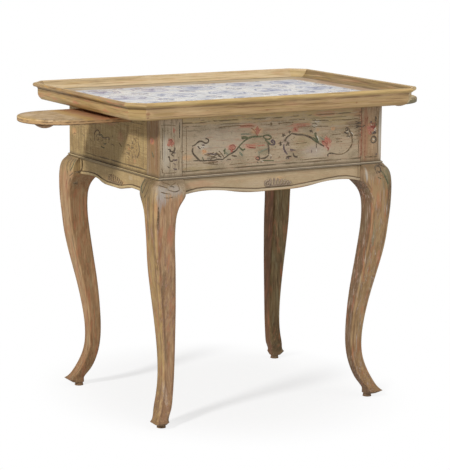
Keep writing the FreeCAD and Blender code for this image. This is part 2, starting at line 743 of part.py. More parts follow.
def slide(side, degrees, back, knob_inset):
    """A slide drawn out to its stops but for a stretch, made at the left end and turned to its own.

    The knob's tenon is glued into it from below, and two pegs behind the end rail stop it.
    """
    tip = f"({HALF_LENGTH} + slide_draw - {back})"
    knob_x = f"(0 - {tip} + {knob_inset})"
    stop_x = f"({back} - {INNER_LENGTH} + stop_radius + slide_clearance)"
    bores = [cylinder(f"{side}_knob_bore", "knob_tenon_radius + fit_clearance",
                      "knob_tenon_length + fit_clearance + overrun", knob_x, "0", f"{SLIDE_BASE} - overrun")]
    pegs = []
    for way in (-1, 1):
        stop_y = f"{way} * stop_spacing / 2"
        bores.append(cylinder(f"{side}_stop_bore", "stop_radius + fit_clearance",
                              "slide_thickness + 2 * overrun", stop_x, stop_y, f"{SLIDE_BASE} - overrun"))
        pegs.append(cylinder(f"{side}_stop_peg", "stop_radius", "slide_thickness + stop_drop",
                             stop_x, stop_y, f"{SLIDE_BASE} - stop_drop"))
    board = cut(f"{side}_slide", slide_board(side, tip), fuse(f"{side}_slide_bores", bores))
    board.Placement = turned(degrees)
    keep(board, f"{side}_slide")
    stops = keep(group(f"{side}_slide_stops", pegs), f"{side}_slide_stops")
    stops.Placement = turned(degrees)
    knob = slide_knob(f"{side}_slide_knob")
    place(knob, knob_x if degrees == 0 else f"0 - {knob_x}", "0", SLIDE_BASE)


slide("left", 0, "left_slide_back", "left_knob_inset")
slide("right", 180, "0", "right_knob_inset")


# Grooved bearers that carry both slides

def slide_guide():
    """The front bearer: it runs from end rail to end rail and holds the slides by their edges."""
    edge = "(slide_width / 2 + slide_clearance)"
    bar = box("guide_bar", f"2 * {INNER_LENGTH}", "guide_width",
              "slide_headroom + slide_thickness + slide_clearance + guide_ledge",
              f"0 - {INNER_LENGTH}", f"guide_overlap - {edge} - guide_width",
              f"{SLIDE_BASE} - slide_clearance - guide_ledge")
    groove_bar = box("guide_groove", f"2 * {INNER_LENGTH} + 2 * overrun", "guide_width",
                     "slide_thickness + 2 * slide_clearance",
                     f"0 - {INNER_LENGTH} - overrun", f"0 - {edge}", f"{SLIDE_BASE} - slide_clearance")
    return cut("front_slide_guide", bar, groove_bar)


front_guide = keep(slide_guide(), "front_slide_guide")
mirrored("back_slide_guide", front_guide, y=1)


# Blocks glued along the rails, under the top

def glue_blocks():
    blocks = []
    for place_share in (-0.5, 0, 0.5):
        for side in (-1, 1):
            x = f"{place_share} * {HALF_LENGTH} - glue_block_length / 2"
            y = f"{side} * ({INNER_WIDTH} - glue_block_size / 2) - glue_block_size / 2"
            blocks.append(box("glue_block", "glue_block_length", "glue_block_size", "glue_block_size", x, y,
                              f"{RIM_BASE} - glue_block_size"))
    return blocks


keep(group("glue_block_set", glue_blocks()), "glue_blocks")


doc.recompute()
for item in doc.Objects:
    if "Invalid" in item.State or "Error" in item.State:
        raise RuntimeError(f"{item.Name} failed: {item.State}")
for item in nodes:
    if item.Shape.isNull() or not item.Shape.isValid():
        raise RuntimeError(f"{item.Label} has no valid shape")

os.makedirs("parts", exist_ok=True)
for item in nodes:
    item.Shape.exportStep(f"parts/{item.Label}.step")
print(f"{len(nodes)} pieces written")
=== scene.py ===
import math
import random
from itertools import accumulate

import bmesh
import bpy
from mathutils import Matrix, Vector
from mathutils.bvhtree import BVHTree


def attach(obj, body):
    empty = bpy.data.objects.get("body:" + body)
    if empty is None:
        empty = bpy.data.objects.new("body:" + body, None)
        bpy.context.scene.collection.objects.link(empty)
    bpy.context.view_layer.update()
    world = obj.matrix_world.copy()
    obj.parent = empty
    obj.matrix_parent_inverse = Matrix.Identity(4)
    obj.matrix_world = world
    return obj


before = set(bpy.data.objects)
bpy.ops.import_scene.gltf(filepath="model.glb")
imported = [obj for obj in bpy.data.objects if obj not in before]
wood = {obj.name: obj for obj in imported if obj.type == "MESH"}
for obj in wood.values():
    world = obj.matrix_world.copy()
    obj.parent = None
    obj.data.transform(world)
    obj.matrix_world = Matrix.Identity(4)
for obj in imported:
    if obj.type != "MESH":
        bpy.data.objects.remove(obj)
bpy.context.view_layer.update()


# The studio: a camera at the height of a seated eye, looking down the long side from its
# left end, a lamp low on the left that throws the slide's shadow on the end, and soft white
# light from everywhere else. The floor and what is round it are white.
YAW = math.radians(30.459)
PITCH = math.radians(10.521)
ROLL = math.radians(0.492)
EYE = (-2.3158, -3.9473, 1.2409)
LENS = 145.95
eye = bpy.data.cameras.new("eye")
eye.lens = LENS
eye.sensor_width = 36
camera = bpy.data.objects.new("eye", eye)
camera.matrix_world = (Matrix.Translation(EYE) @ Matrix.Rotation(-YAW, 4, "Z")
                       @ Matrix.Rotation(math.pi / 2 - PITCH, 4, "X") @ Matrix.Rotation(ROLL, 4, "Z"))
bpy.context.collection.objects.link(camera)
bpy.context.scene.camera = camera
bpy.context.scene.view_settings.view_transform = "Standard"

lamps = {
    "window": ((-1.0, -0.38, 0.73), 2.95, 8.5),
    "front_screen": ((0.35, -1.0, 0.32), 1.12, 70),
    "right_screen": ((1.0, -0.3, 0.6), 0.35, 70),
}
for name, (toward, strength, width) in lamps.items():
    light = bpy.data.lights.new(name, "SUN")
    light.energy = strength
    light.angle = math.radians(width)
    lamp = bpy.data.objects.new(name, light)
    aim = Vector(toward).to_track_quat("Z", "Y").to_matrix().to_4x4()
    lamp.matrix_world = Matrix.Translation(Vector(toward) * 3) @ aim
    bpy.context.collection.objects.link(lamp)

sky = bpy.data.worlds.new("white_room")
sky.use_nodes = True
sky_nodes = sky.node_tree.nodes
sky_nodes.clear()
seen, either, chosen = (sky_nodes.new(f"ShaderNode{kind}") for kind in ("LightPath", "Math", "MixShader"))
either.operation = "MAXIMUM"
link = sky.node_tree.links.new
for slot, (strength, shade) in enumerate(((0.33, (1.0, 0.985, 0.96, 1)), (1, (1, 1, 1, 1)))):
    part = sky_nodes.new("ShaderNodeBackground")
    part.inputs["Strength"].default_value = strength
    part.inputs["Color"].default_value = shade
    link(part.outputs[0], chosen.inputs[slot + 1])
    link(seen.outputs[("Is Camera Ray", "Is Glossy Ray")[slot]], either.inputs[slot])
link(either.outputs[0], chosen.inputs[0])
link(chosen.outputs[0], sky_nodes.new("ShaderNodeOutputWorld").inputs[0])
bpy.context.scene.world = sky

ground = bmesh.new()
bmesh.ops.create_grid(ground, x_segments=1, y_segments=1, size=6)
floor_mesh = bpy.data.meshes.new("floor")
ground.to_mesh(floor_mesh)
floor = bpy.data.objects.new("floor", floor_mesh)
bpy.context.collection.objects.link(floor)


# Tray rim: eight mitred lengths of one moulding in a fruitwood stained golden ochre, a bead
# over a quirk and an ovolo outside, a cavetto inside. The colour is worn off the crest, which
# also carries a painted highlight. Painted shade darkens the quirk and the foot of the outer
# face, and the foot of the cavetto is darker.
def paint(red, green, blue):
    """A colour as it looks, 0 to 255, as the shader wants it."""
    return tuple(((c / 255 + 0.055) / 1.055) ** 2.4 for c in (red, green, blue)) + (1,)


class Mark:
    """A number or colour that changes over a surface. Sums of marks add Math nodes."""

    def __init__(self, finish, socket):
        self.finish = finish
        self.socket = socket

    def also(self, name):
        return Mark(self.finish, self.socket.node.outputs[name])

    def __add__(self, other):
        return self.finish.reckon("ADD", self, other)

    __radd__ = __add__

    def __sub__(self, other):
        return self.finish.reckon("SUBTRACT", self, other)

    def __rsub__(self, other):
        return self.finish.reckon("SUBTRACT", other, self)

    def __mul__(self, other):
        return self.finish.reckon("MULTIPLY", self, other)

    __rmul__ = __mul__

    def __truediv__(self, other):
        return self.finish.reckon("DIVIDE", self, other)

    def __abs__(self):
        return self.finish.reckon("ABSOLUTE", self)

    def most(self, other):
        """The greater of two numbers."""
        return self.finish.reckon("MAXIMUM", self, other)

    def least(self, other):
        """The lesser of two numbers."""
        return self.finish.reckon("MINIMUM", self, other)


class Finish:
    """One finish, laid coat on coat. Its nodes read a place in the table's frame."""

    def __init__(self, name, ground=(255, 255, 255)):
        self.material = bpy.data.materials.new(name)
        self.material.use_nodes = True
        self.tree = self.material.node_tree
        self.tree.nodes.clear()
        self.place = self.node("ShaderNodeTexCoord", output="Object")
        self.x = self.node("ShaderNodeSeparateXYZ", {}, {0: self.place})
        self.y = self.x.also("Y")
        self.z = self.x.also("Z")
        self.colour = paint(*ground)

    def node(self, kind, settings=None, sockets=None, output=0):
        made = self.tree.nodes.new(kind)
        for key, value in (settings or {}).items():
            if key == "stops":
                band = made.color_ramp
                while len(band.elements) < len(value):
                    band.elements.new(0.5)
                for stop, (place, shade) in zip(band.elements, value):
                    stop.position = place
                    stop.color = shade
            else:
                setattr(made, key, value)
        for key, value in (sockets or {}).items():
            if isinstance(value, Mark):
                self.tree.links.new(value.socket, made.inputs[key])
            else:
                made.inputs[key].default_value = value
        return Mark(self, made.outputs[output])

    def reckon(self, operation, *values):
        return self.node("ShaderNodeMath", {"operation": operation}, dict(enumerate(values)))

    def mapped(self, size, turn, seed):
        """The place, measured in lengths of size along a grain that is turned about Z."""
        return self.node("ShaderNodeMapping", {"vector_type": "TEXTURE"}, {
            "Vector": self.place, "Location": (seed * 1.37, seed * 0.71, seed * 0.53),
            "Rotation": (0, 0, math.radians(turn)), "Scale": size})

    def mottle(self, size, turn=0, detail=3, rough=0.55, seed=0, bend=0):
        """Cloudy noise, 0 to 1, whose clouds are as long as size along the grain."""
        return self.node("ShaderNodeTexNoise", {}, {
            "Vector": self.mapped(size, turn, seed), "Scale": 1, "Detail": detail,
            "Roughness": rough, "Distortion": bend})

    def cracks(self, size, turn=0, seed=0):
        """How far a point is from the edge of its cell, in cells."""
        return self.node("ShaderNodeTexVoronoi", {"feature": "DISTANCE_TO_EDGE"}, {
            "Vector": self.mapped(size, turn, seed), "Scale": 1})

    def rise(self, value, start, end):
        """0 at start, 1 at end, and smooth between them."""
        return self.node("ShaderNodeMapRange", {"interpolation_type": "SMOOTHSTEP"}, {
            "Value": value, "From Min": start, "From Max": end})

    def line(self, value, centre, half, soft):
        """1 within half of centre, fading over soft."""
        return self.rise(abs(value - centre), half + soft, half)

    def spot(self, along, up, middle, level, breadth, rise):
        """1 at a place on a face, given in mm, fading to 0 at its reach each way."""
        aside = (along - middle / 1000) / (breadth / 1000)
        above = (up - level / 1000) / (rise / 1000)
        return self.rise(aside * aside + above * above, 1, 0)

    def stain(self, tone, share, spot, grain):
        """Rubs a tone in at a spot, ragged where the grain is low."""
        self.lay(self.rise(0.9 * spot + 1.8 * grain, 1.15, 1.95) * share, *tone)

    def curve(self, value, low, high, pairs):
        """A number read from pairs of place and height, with heights from low to high."""
        start, end = pairs[0][0], pairs[-1][0]
        share = (value - start) / (end - start)
        stops = [((at - start) / (end - start),) + (((height - low) / (high - low),) * 3 + (1,),)
                 for at, height in pairs]
        return self.node("ShaderNodeValToRGB", {"stops": stops}, {0: share}) * (high - low) + low

    def over(self, under, share, top):
        """Colour top laid over colour under, as thick as share."""
        return self.node("ShaderNodeMix", {"data_type": "RGBA"}, {0: share, 6: under, 7: top}, 2)

    def lay(self, share, *tone):
        """Lays a tone over what is there, as thick as share."""
        self.colour = self.over(self.colour, share, paint(*tone))

    def tint(self, share, *tone):
        """Multiplies what is there by a tone, as much as share."""
        self.colour = self.node("ShaderNodeMix", {"data_type": "RGBA", "blend_type": "MULTIPLY"},
                                {0: share, 6: self.colour, 7: paint(*tone)}, 2)

    def done(self, roughness, height, depth, specular=0.35, coat=0.0):
        bump = self.node("ShaderNodeBump", {}, {"Height": height, "Strength": 1, "Distance": depth})
        return self.shown(self.node("ShaderNodeBsdfPrincipled", {}, {
            "Base Color": self.colour, "Roughness": roughness, "Specular IOR Level": specular,
            "Coat Weight": coat, "Coat Roughness": 0.25, "Normal": bump}))

    def shown(self, surface):
        """Gives the material, with this surface on it."""
        end = self.tree.nodes.new("ShaderNodeOutputMaterial")
        self.tree.links.new(surface.socket, end.inputs["Surface"])
        return self.material


def dress(finish, *names):
    """Gives CAD pieces their finish."""
    for name in names:
        slots = wood[name].data.materials
        if not slots:
            slots.append(finish)
        for index in range(len(slots)):
            slots[index] = finish


# Half the length and the width of the tray, how far its corners are cut off, and the top, the
# foot and the width of its rim.
LIP = (0.395, 0.276)
LIP_CUT = 0.036
RIM_TOP = 0.76
RIM_FOOT = 0.719
RIM_WIDTH = 0.028


def lip(f):
    """How far a place lies outside the lip of the tray, less than 0 inside it."""
    corner = (abs(f.x) + abs(f.y) - (LIP[0] + LIP[1] - LIP_CUT)) * math.sqrt(0.5)
    return (abs(f.x) - LIP[0]).most(abs(f.y) - LIP[1]).most(corner)


def rim_finish(name, turn, face, well, rose):
    """face and well are the colours outside and inside the crest, and rose how much red shows."""
    f = Finish(name, face)
    out = lip(f)
    broad = f.mottle((0.22, 0.024, 0.024), turn, 3, seed=turn)
    grain = f.mottle((0.11, 0.0034, 0.0034), turn, 4, 0.62, seed=turn + 3)
    fleck = f.mottle((0.024, 0.0016, 0.0016), turn, 2, seed=turn + 5)
    f.lay(f.rise(out, -0.0055, -0.0085), *well)
    f.tint(f.rise(broad, 0.42, 0.62) * 0.7, 226, 220, 206)
    f.tint(f.rise(grain, 0.5, 0.7) * 0.85, 178, 164, 144)
    f.lay(f.rise(grain, 0.44, 0.26) * 0.4, 214, 190, 148)
    red = f.mottle((0.075, 0.016, 0.01), turn, 3, seed=turn + 8)
    f.lay(f.rise(red, 0.54, 0.68) * rose, 176, 116, 84)
    f.lay(f.rise(red, 0.42, 0.3) * rose * 0.8, 190, 146, 74)
    f.lay(f.rise(fleck, 0.64, 0.74) * 0.55, 104, 80, 52)
    olive = f.rise(f.mottle((0.09, 0.007, 0.006), turn, 3, 0.6, seed=turn + 14), 0.52, 0.64)
    f.lay(olive * 0.45, 146, 122, 66)
    # Wear and painted highlight: a pale line along the crest.
    crest = f.rise(f.z, RIM_TOP - 0.004, RIM_TOP - 0.001)
    f.lay(f.line(out + 0.0015 * grain, -0.006, 0.0012, 0.002) * crest * 0.5, 206, 182, 144)
    # Painted shade: a broken dark line in the quirk under the bead.
    patchy_wear_and_shading = f.rise(f.mottle((0.05, 0.006, 0.01), turn, 2, seed=turn + 11), 0.28, 0.58)
    quirk_shade = f.line(f.z, 0.7462, 0.0013, 0.0016) * f.rise(out, -0.005, -0.0068)
    quirk_shade = quirk_shade * f.rise(out, -0.0125, -0.011)
    f.lay(quirk_shade * patchy_wear_and_shading * 0.6, 96, 74, 46)
    foot = f.line(out, 0.0002 - RIM_WIDTH, 0.0009, 0.0012)
    f.lay(foot * 0.9, 84, 68, 42)
    # Painted shade: the rim darkens towards its foot.
    under = f.rise(f.z, RIM_FOOT + 0.0032, RIM_FOOT + 0.0006)
    f.lay(under * 0.55, 116, 96, 52)
    for place in ((-349, 735, 7, 6), (-348, 726, 3, 3), (205, 733, 4, 3), (-40, 728, 6, 2)):
        knot = f.spot(f.x, f.z, *place) * f.rise(f.y, -0.24, -0.25)
        f.lay(knot * 0.6, 124, 78, 52)
    return f.done(0.54 + 0.16 * grain, grain + 0.5 * fleck, 0.0005, 0.35, 0.05)


# The tones differ from piece to piece partly as painted light and shade: the left rim's outer face and the
# right rim's inner face are darker, and the back rim's inner face lighter.
for name, turn, face, well, rose in (
        ("front_rim", 0, (184, 157, 106), (184, 154, 112), 0.2),
        ("back_rim", 0, (184, 158, 116), (196, 174, 138), 0.2),
        ("left_rim", 90, (160, 133, 95), (170, 142, 96), 0.85),
        ("right_rim", 90, (156, 130, 90), (124, 102, 66), 0.2),
        ("front_right_corner_rim", 45, (180, 154, 98), (166, 140, 92), 0.25),
        ("back_left_corner_rim", 45, (172, 142, 100), (188, 160, 118), 0.3),
        ("front_left_corner_rim", -45, (176, 149, 102), (168, 141, 94), 0.2),
        ("back_right_corner_rim", -45, (160, 136, 96), (176, 154, 112), 0.2)):
    dress(rim_finish(f"{name}_wood", turn, face, well, rose), name)


# Margins: four plain boards round the tiles, rubbed pale, with a dark joint against the rim.
# Below them three tongued planks carry the tiles' mortar bed, and are never seen finished.
def margin_finish(name, turn, tone):
    f = Finish(name, tone)
    grain = f.mottle((0.16, 0.0035, 0.0035), turn, 4, 0.6, seed=turn + 21)
    cloud = f.mottle((0.1, 0.03, 0.03), turn, 3, seed=turn + 24)
    f.tint(f.rise(cloud, 0.42, 0.62) * 0.8, 228, 208, 194)
    f.lay(f.rise(grain, 0.5, 0.72) * 0.5, 132, 108, 80)
    f.lay(f.rise(grain, 0.42, 0.28) * 0.4, 214, 198, 172)
    f.lay(f.rise(lip(f), -0.0325, -0.0284) * 0.85, 84, 66, 42)
    return f.done(0.58 + 0.15 * grain, grain, 0.0004)


for name, turn, tone in (("front", 0, (190, 160, 130)), ("back", 0, (178, 164, 138)),
                         ("left", 90, (196, 166, 134)), ("right", 90, (172, 150, 124))):
    dress(margin_finish(f"margin_wood_{name}", turn, tone), f"{name}_margin")

f = Finish("raw_board", (196, 164, 116))
ring = f.mottle((0.5, 0.016, 0.016), 0, 2, seed=31, bend=1.2)
pore = f.mottle((0.05, 0.0014, 0.0014), seed=33)
f.lay(f.rise(f.reckon("SINE", ring * 46), -0.2, 1.0) * 0.5, 160, 118, 72)
f.lay(f.rise(pore, 0.58, 0.75) * 0.6, 120, 88, 56)
dress(f.done(0.74 + 0.12 * pore, pore, 0.0005, 0.25), "front_plank", "middle_plank", "back_plank",
      "front_slide_guide", "back_slide_guide", "glue_blocks")


# Tiles: fifteen hand-made white tin-glazed squares, five by three, each with a painted
# flower in a ring of leaves and a sprig in every corner, in blue or in faded violet. The
# glaze has crazed and greyed, and the squares are set in grey mortar.
TILE_PITCH = 0.13
f = Finish("tin_glaze", (202, 200, 196))
column = f.reckon("ROUND", f.x / TILE_PITCH)
row = f.reckon("ROUND", f.y / TILE_PITCH)
shake, tremor = (f.mottle((0.012, 0.012, 0.012), seed=seed) for seed in (41, 43))
across = f.x / TILE_PITCH - column + (shake - 0.5) * 0.05
along = f.y / TILE_PITCH - row + (tremor - 0.5) * 0.05


def lot(f, column, row):
    """A number from 0 to 1 that is each tile's own."""
    return f.node("ShaderNodeTexWhiteNoise", {"noise_dimensions": "2D"}, {
        "Vector": f.node("ShaderNodeCombineXYZ", {}, {0: column, 1: row})})


def polar(f, across, along, turned=0.0):
    """Distance and angle of a place from the middle of its motif."""
    return f.reckon("SQRT", across * across + along * along), f.reckon("ARCTAN2", along, across) + turned


def wave(f, angle, count):
    """From -1 to 1 and back, count times round the middle."""
    return f.reckon("COSINE", angle * count)


own = lot(f, column, row)
other = lot(f, column + 7, row * 3)
far, angle = polar(f, across - (own - 0.5) * 0.1, along - (other - 0.5) * 0.08, own * 6)
bloom = f.rise(far - 0.15 - 0.06 * wave(f, angle, 5), 0.02, -0.02)
heart = f.rise(far, 0.06, 0.04)
veins = f.rise(wave(f, angle, 15), 0.1, 0.9)
ring = f.line(far + 0.016 * wave(f, angle, 8), 0.335, 0.013, 0.016)
leaves = f.rise(abs(far - 0.255) - 0.045 * wave(f, angle + other * 3, 3), 0.016, -0.014)
corner_far, corner_angle = polar(f, 0.5 - abs(across), 0.5 - abs(along))
sprig = f.rise(abs(corner_far - 0.12) - 0.06 * abs(wave(f, corner_angle, 3)), 0.012, -0.016)
brush = f.mottle((0.006, 0.01, 0.01), 30, 3, seed=45)
drawn = (bloom * (0.55 + 0.45 * veins)).most(heart).most(ring * 0.7)
drawn = drawn.most(leaves * 0.85).most(sprig * 0.75)
worn = f.rise(f.mottle((0.035, 0.03, 0.03), 15, 4, 0.65, seed=47), 0.32, 0.52)
drawn = drawn * (0.55 + 0.45 * brush) * (0.45 + 0.55 * worn)
wash = f.rise(f.mottle((0.06, 0.04, 0.04), seed=49), 0.42, 0.66)
f.lay(wash * 0.8, 164, 168, 180)
f.lay(own * 0.3, 202, 196, 188)
f.lay(f.rise(f.mottle((0.05, 0.03, 0.03), 0, 2, seed=50), 0.58, 0.7) * 0.35, 206, 186, 176)
f.lay(f.rise(far, 0.44, 0.16) * 0.4 * (0.4 + 0.6 * worn), 146, 152, 176)
pigment = f.over(paint(66, 76, 116), f.rise(other, 0.45, 0.75), paint(92, 76, 112))
f.colour = f.over(f.colour, (drawn * 1.65).least(0.94), pigment)
crazing = f.rise(f.cracks((0.008, 0.009, 0.009), 20, 3), 0.03, 0.0)
f.lay(crazing * 0.25, 140, 130, 118)
edge = f.rise(abs(across).most(abs(along)), 0.466, 0.492)
f.lay(edge * 0.55, 146, 138, 126)
dress(f.done(0.24 + 0.2 * wash, shake + 0.12 * crazing, 0.0004, 0.5, 0.12),
      *(f"{line}_tile_{number}" for line in ("front", "middle", "back") for number in range(1, 6)))

f = Finish("old_mortar", (170, 160, 146))
grit = f.mottle((0.0016, 0.0016, 0.0016), seed=51)
stain = f.mottle((0.05, 0.05, 0.05), 0, 2, seed=53)
f.lay(f.rise(stain, 0.4, 0.7), 132, 122, 108)
f.lay(f.rise(grit, 0.5, 0.8) * 0.5, 110, 100, 88)
dress(f.done(0.85 + 0.1 * grit, grit, 0.0006, 0.2), "tile_grout", "tile_bed")


# Frieze: four rails with shaped aprons, painted all over in a thin grey-beige that the years
# have crazed, rubbed and dirtied. Dark broken lines run under the tray and over the bead, and
# dirt follows the raised border of each apron. Painted shade darkens each rail just under the
# tray and round the bead.
GREY_PAINT = ((155, 138, 114), (137, 122, 98), (92, 78, 58), (178, 165, 143))
OCHRE_PAINT = ((160, 136, 92), (142, 117, 76), (100, 78, 50), (184, 164, 124))
UMBER_PAINT = ((140, 118, 92), (124, 102, 75), (88, 68, 48), (170, 148, 118))
# Half the length and half the width of the frame over its posts, the posts' own width, and
# the dark joints under and over the bead.
FRAME = (0.302, 0.23)
POST = 0.058
BEAD_FOOT = 0.5785
BEAD_TOP = 0.5845


def old_paint(f, grain, tones, seed, upright=0.0):
    """Starts the coats anew with thin old paint, over a grain along 0 X, 1 Y or 2 Z."""
    light, cloudy, dark, rubbed = tones
    f.colour = paint(*light)
    long = [(0.07, 0.0036, 0.0036), (0.0036, 0.07, 0.0036), (0.004, 0.004, 0.075)][grain]
    short = [(0.018, 0.0016, 0.0016), (0.0016, 0.018, 0.0016), (0.0017, 0.0017, 0.02)][grain]
    streak = f.mottle(long, 0, 4, 0.62, seed=seed, bend=0.2)
    fine = f.mottle(short, 0, 4, 0.68, seed=seed + 2)
    cloud = f.mottle((0.05, 0.05, 0.03), 0, 4, 0.6, seed=seed + 4)
    f.lay(f.rise(cloud, 0.42, 0.62) * 0.8, *cloudy)
    f.lay(f.rise(streak, 0.42, 0.28) * 0.4, *rubbed)
    f.lay(f.rise(streak, 0.53, 0.68) * 0.58, *dark)
    if upright:
        fall = f.mottle((0.0042, 0.0042, 0.06), 0, 3, 0.6, seed=seed + 5)
        f.lay(f.rise(fall, 0.5, 0.7) * upright, *dark)
        f.lay(f.rise(fall, 0.42, 0.28) * upright * 0.7, *rubbed)
    f.lay(f.rise(fine, 0.53, 0.67) * 0.62, *dark)
    f.lay(f.rise(fine, 0.44, 0.3) * 0.5, *rubbed)
    net = f.rise(f.cracks((0.009, 0.009, 0.0055), 0, seed), 0.05, 0.0) * f.rise(cloud, 0.44, 0.54)
    f.lay(net * 0.4, *dark)
    speck = f.rise(f.mottle((0.0034, 0.0034, 0.0028), 0, 2, seed=seed + 8), 0.63, 0.72)
    f.lay(speck * 0.7, 84, 70, 54)
    return streak, fine


ROSE = (168, 108, 88)
PEACH = (196, 146, 98)
CHALK = (180, 176, 166)
OLIVE = (148, 130, 88)
SIENNA = (140, 100, 76)
VIOLET = (136, 120, 116)
GREEN_EARTH = (104, 106, 82)
STRAW = (176, 154, 106)
KHAKI = (162, 142, 98)
# Each stain: tone, share, where along and up, then its reach along and up, in mm.
# The first two front stains, straw and khaki along the top, are partly the frieze's ochre tint and partly
# painted light that lifts the shade under the tray.
FRONT_STAINS = (
    (STRAW, 0.75, -90, 722, 380, 34), (KHAKI, 0.65, 180, 702, 190, 40),
    (OLIVE, 0.3, 85, 645, 48, 30), (ROSE, 0.64, -72, 690, 40, 8), (PEACH, 0.51, -46, 678, 22, 13),
    (ROSE, 0.68, -114, 644, 20, 13), (ROSE, 0.64, -62, 642, 30, 8), (PEACH, 0.51, -186, 636, 14, 10),
    (PEACH, 0.42, -232, 626, 24, 11), (ROSE, 0.59, 70, 684, 48, 7), (ROSE, 0.47, 142, 706, 50, 10),
    (ROSE, 0.51, 58, 674, 14, 12), (ROSE, 0.72, 146, 636, 20, 20), (SIENNA, 0.8, 245, 650, 16, 110),
    (SIENNA, 0.6, 236, 700, 30, 22), ((96, 78, 58), 0.65, 222, 677, 34, 13),
    ((104, 86, 64), 0.5, 236, 660, 12, 40), ((112, 94, 66), 0.45, 205, 664, 30, 20),
    (CHALK, 0.31, -190, 652, 26, 14), (CHALK, 0.25, 118, 620, 60, 26), (CHALK, 0.28, 116, 686, 24, 14),
    (CHALK, 0.19, -150, 650, 110, 60), (PEACH, 0.47, 163, 670, 9, 7), (PEACH, 0.38, 120, 669, 10, 7),
    (PEACH, 0.42, 15, 561, 14, 10), (CHALK, 0.22, -30, 552, 90, 14), (PEACH, 0.51, 40, 536, 130, 6),
    (ROSE, 0.47, -45, 613, 12, 9), (OLIVE, 0.4, -200, 600, 60, 14), (ROSE, 0.38, -200, 562, 70, 12),
    (GREEN_EARTH, 0.45, -122, 630, 20, 14), (GREEN_EARTH, 0.4, -92, 630, 14, 14),
    (GREEN_EARTH, 0.4, -28, 626, 20, 10), (VIOLET, 0.35, 32, 640, 18, 36),
    (VIOLET, 0.35, 108, 622, 30, 16),
)
END_STAINS = (
    ((124, 106, 66), 0.55, 10, 562, 190, 34), (OLIVE, 0.45, 0, 640, 90, 60),
    (ROSE, 0.35, -8, 684, 40, 12), (ROSE, 0.35, 40, 655, 24, 20), (PEACH, 0.4, 10, 548, 100, 9),
    (CHALK, 0.35, 88, 566, 14, 8), (OLIVE, 0.45, -165, 610, 14, 60), (OLIVE, 0.35, 148, 650, 12, 60),
    (OLIVE, 0.6, 60, 712, 200, 26), (SIENNA, 0.35, 112, 608, 12, 12),
)


def rail_finish(name, axis, tones, seed, stains, border, upright=0.0):
    """axis is 0 along X and 1 along Y, and border is how high the apron's border is along half of it."""
    f = Finish(name)
    across = f.y * -1 if axis else f.x
    streak, fine = old_paint(f, axis, tones, seed, upright)
    grain = 0.45 * f.rise(streak, 0.25, 0.75) + 0.55 * f.rise(fine, 0.25, 0.75)
    for tone, share, *place in stains:
        f.stain(tone, share, f.spot(across, f.z, *place), grain)
    grime = f.rise(f.mottle((0.045, 0.045, 0.004), seed=seed + 11), 0.34, 0.56)
    sway = (f.mottle((0.09, 0.09, 0.09), 0, 2, seed=seed + 13) - 0.5) * 0.007
    broken_lines = ((0.705, 0.0008, 0.75), (0.697, 0.0005, 0.55), (0.687, 0.0005, 0.35))
    for level, half, share in broken_lines:
        band = f.line(f.z + sway * 0.7, level, half, 0.0012)
        broken = f.rise(f.mottle((0.035, 0.035, 0.006), seed=level * 900), 0.44, 0.54)
        f.lay(band * broken * share, 72, 60, 46)
    f.lay(f.line(f.z + sway * 0.25, 0.595, 0.001, 0.0012) * grime * 0.85, 72, 60, 44)
    shadow = f.rise(f.z, BEAD_TOP + 0.007, BEAD_TOP + 0.0015)
    f.lay(shadow * f.rise(f.z, BEAD_FOOT - 0.0015, BEAD_FOOT + 0.0015) * 0.6, 84, 70, 50)
    # Painted shade just under the tray.
    f.lay(f.rise(f.z, RIM_FOOT - 0.0045, RIM_FOOT - 0.001) * 0.4, 96, 80, 54)
    end = FRAME[axis] - POST
    f.lay(f.line(abs(across), end, 0.0007, 0.0014) * 0.85, 72, 56, 42)
    below = f.rise(f.z, BEAD_FOOT + 0.0005, BEAD_FOOT - 0.001)
    f.lay(below * 0.35, 184, 158, 118)
    # Painted shade just under the bead.
    f.lay(f.rise(f.z, BEAD_FOOT - 0.006, BEAD_FOOT - 0.0005) * below * 0.65, 88, 72, 50)
    foot = f.z - f.curve(abs(across), 535, 560, border) * 0.001
    flank = f.line(abs(across), end - 0.0066, 0.0006, 0.0012) * f.rise(foot, 0, 0.001) * 0.35
    f.lay(f.line(foot, 0.0006, 0.0007, 0.0012).most(flank) * below * 0.8, 74, 58, 42)
    crown = f.line(foot, -0.0028, 0.0012, 0.0016) * below
    f.lay(crown * 0.5, *tones[3])
    f.lay(f.rise(foot, -0.0052, -0.0066) * 0.6, 96, 76, 54)
    return f.done(0.62 + 0.16 * streak, streak + 0.6 * fine, 0.0006, 0.22)


SIDE_BORDER = (
    (0, 541.5), (0.045, 541.5), (0.08, 544.6), (0.1135, 548), (0.147, 551.6), (0.182, 554.5),
    (0.205, 553.7), (0.225, 550.4), (0.237, 547),
)
END_BORDER = (
    (0, 540), (0.03, 540), (0.047, 542.3), (0.064, 545.2), (0.081, 548.7), (0.098, 550.5),
    (0.13, 549.8), (0.165, 547),
)
dress(rail_finish("frieze_paint_front", 0, GREY_PAINT, 61, FRONT_STAINS, SIDE_BORDER), "front_rail")
dress(rail_finish("frieze_paint_back", 0, UMBER_PAINT, 65, FRONT_STAINS, SIDE_BORDER), "back_rail")
dress(rail_finish("frieze_paint_left", 1, OCHRE_PAINT, 69, END_STAINS, END_BORDER, 0.75), "left_end_rail")
dress(rail_finish("frieze_paint_right", 1, OCHRE_PAINT, 73, END_STAINS, END_BORDER, 0.55), "right_end_rail")


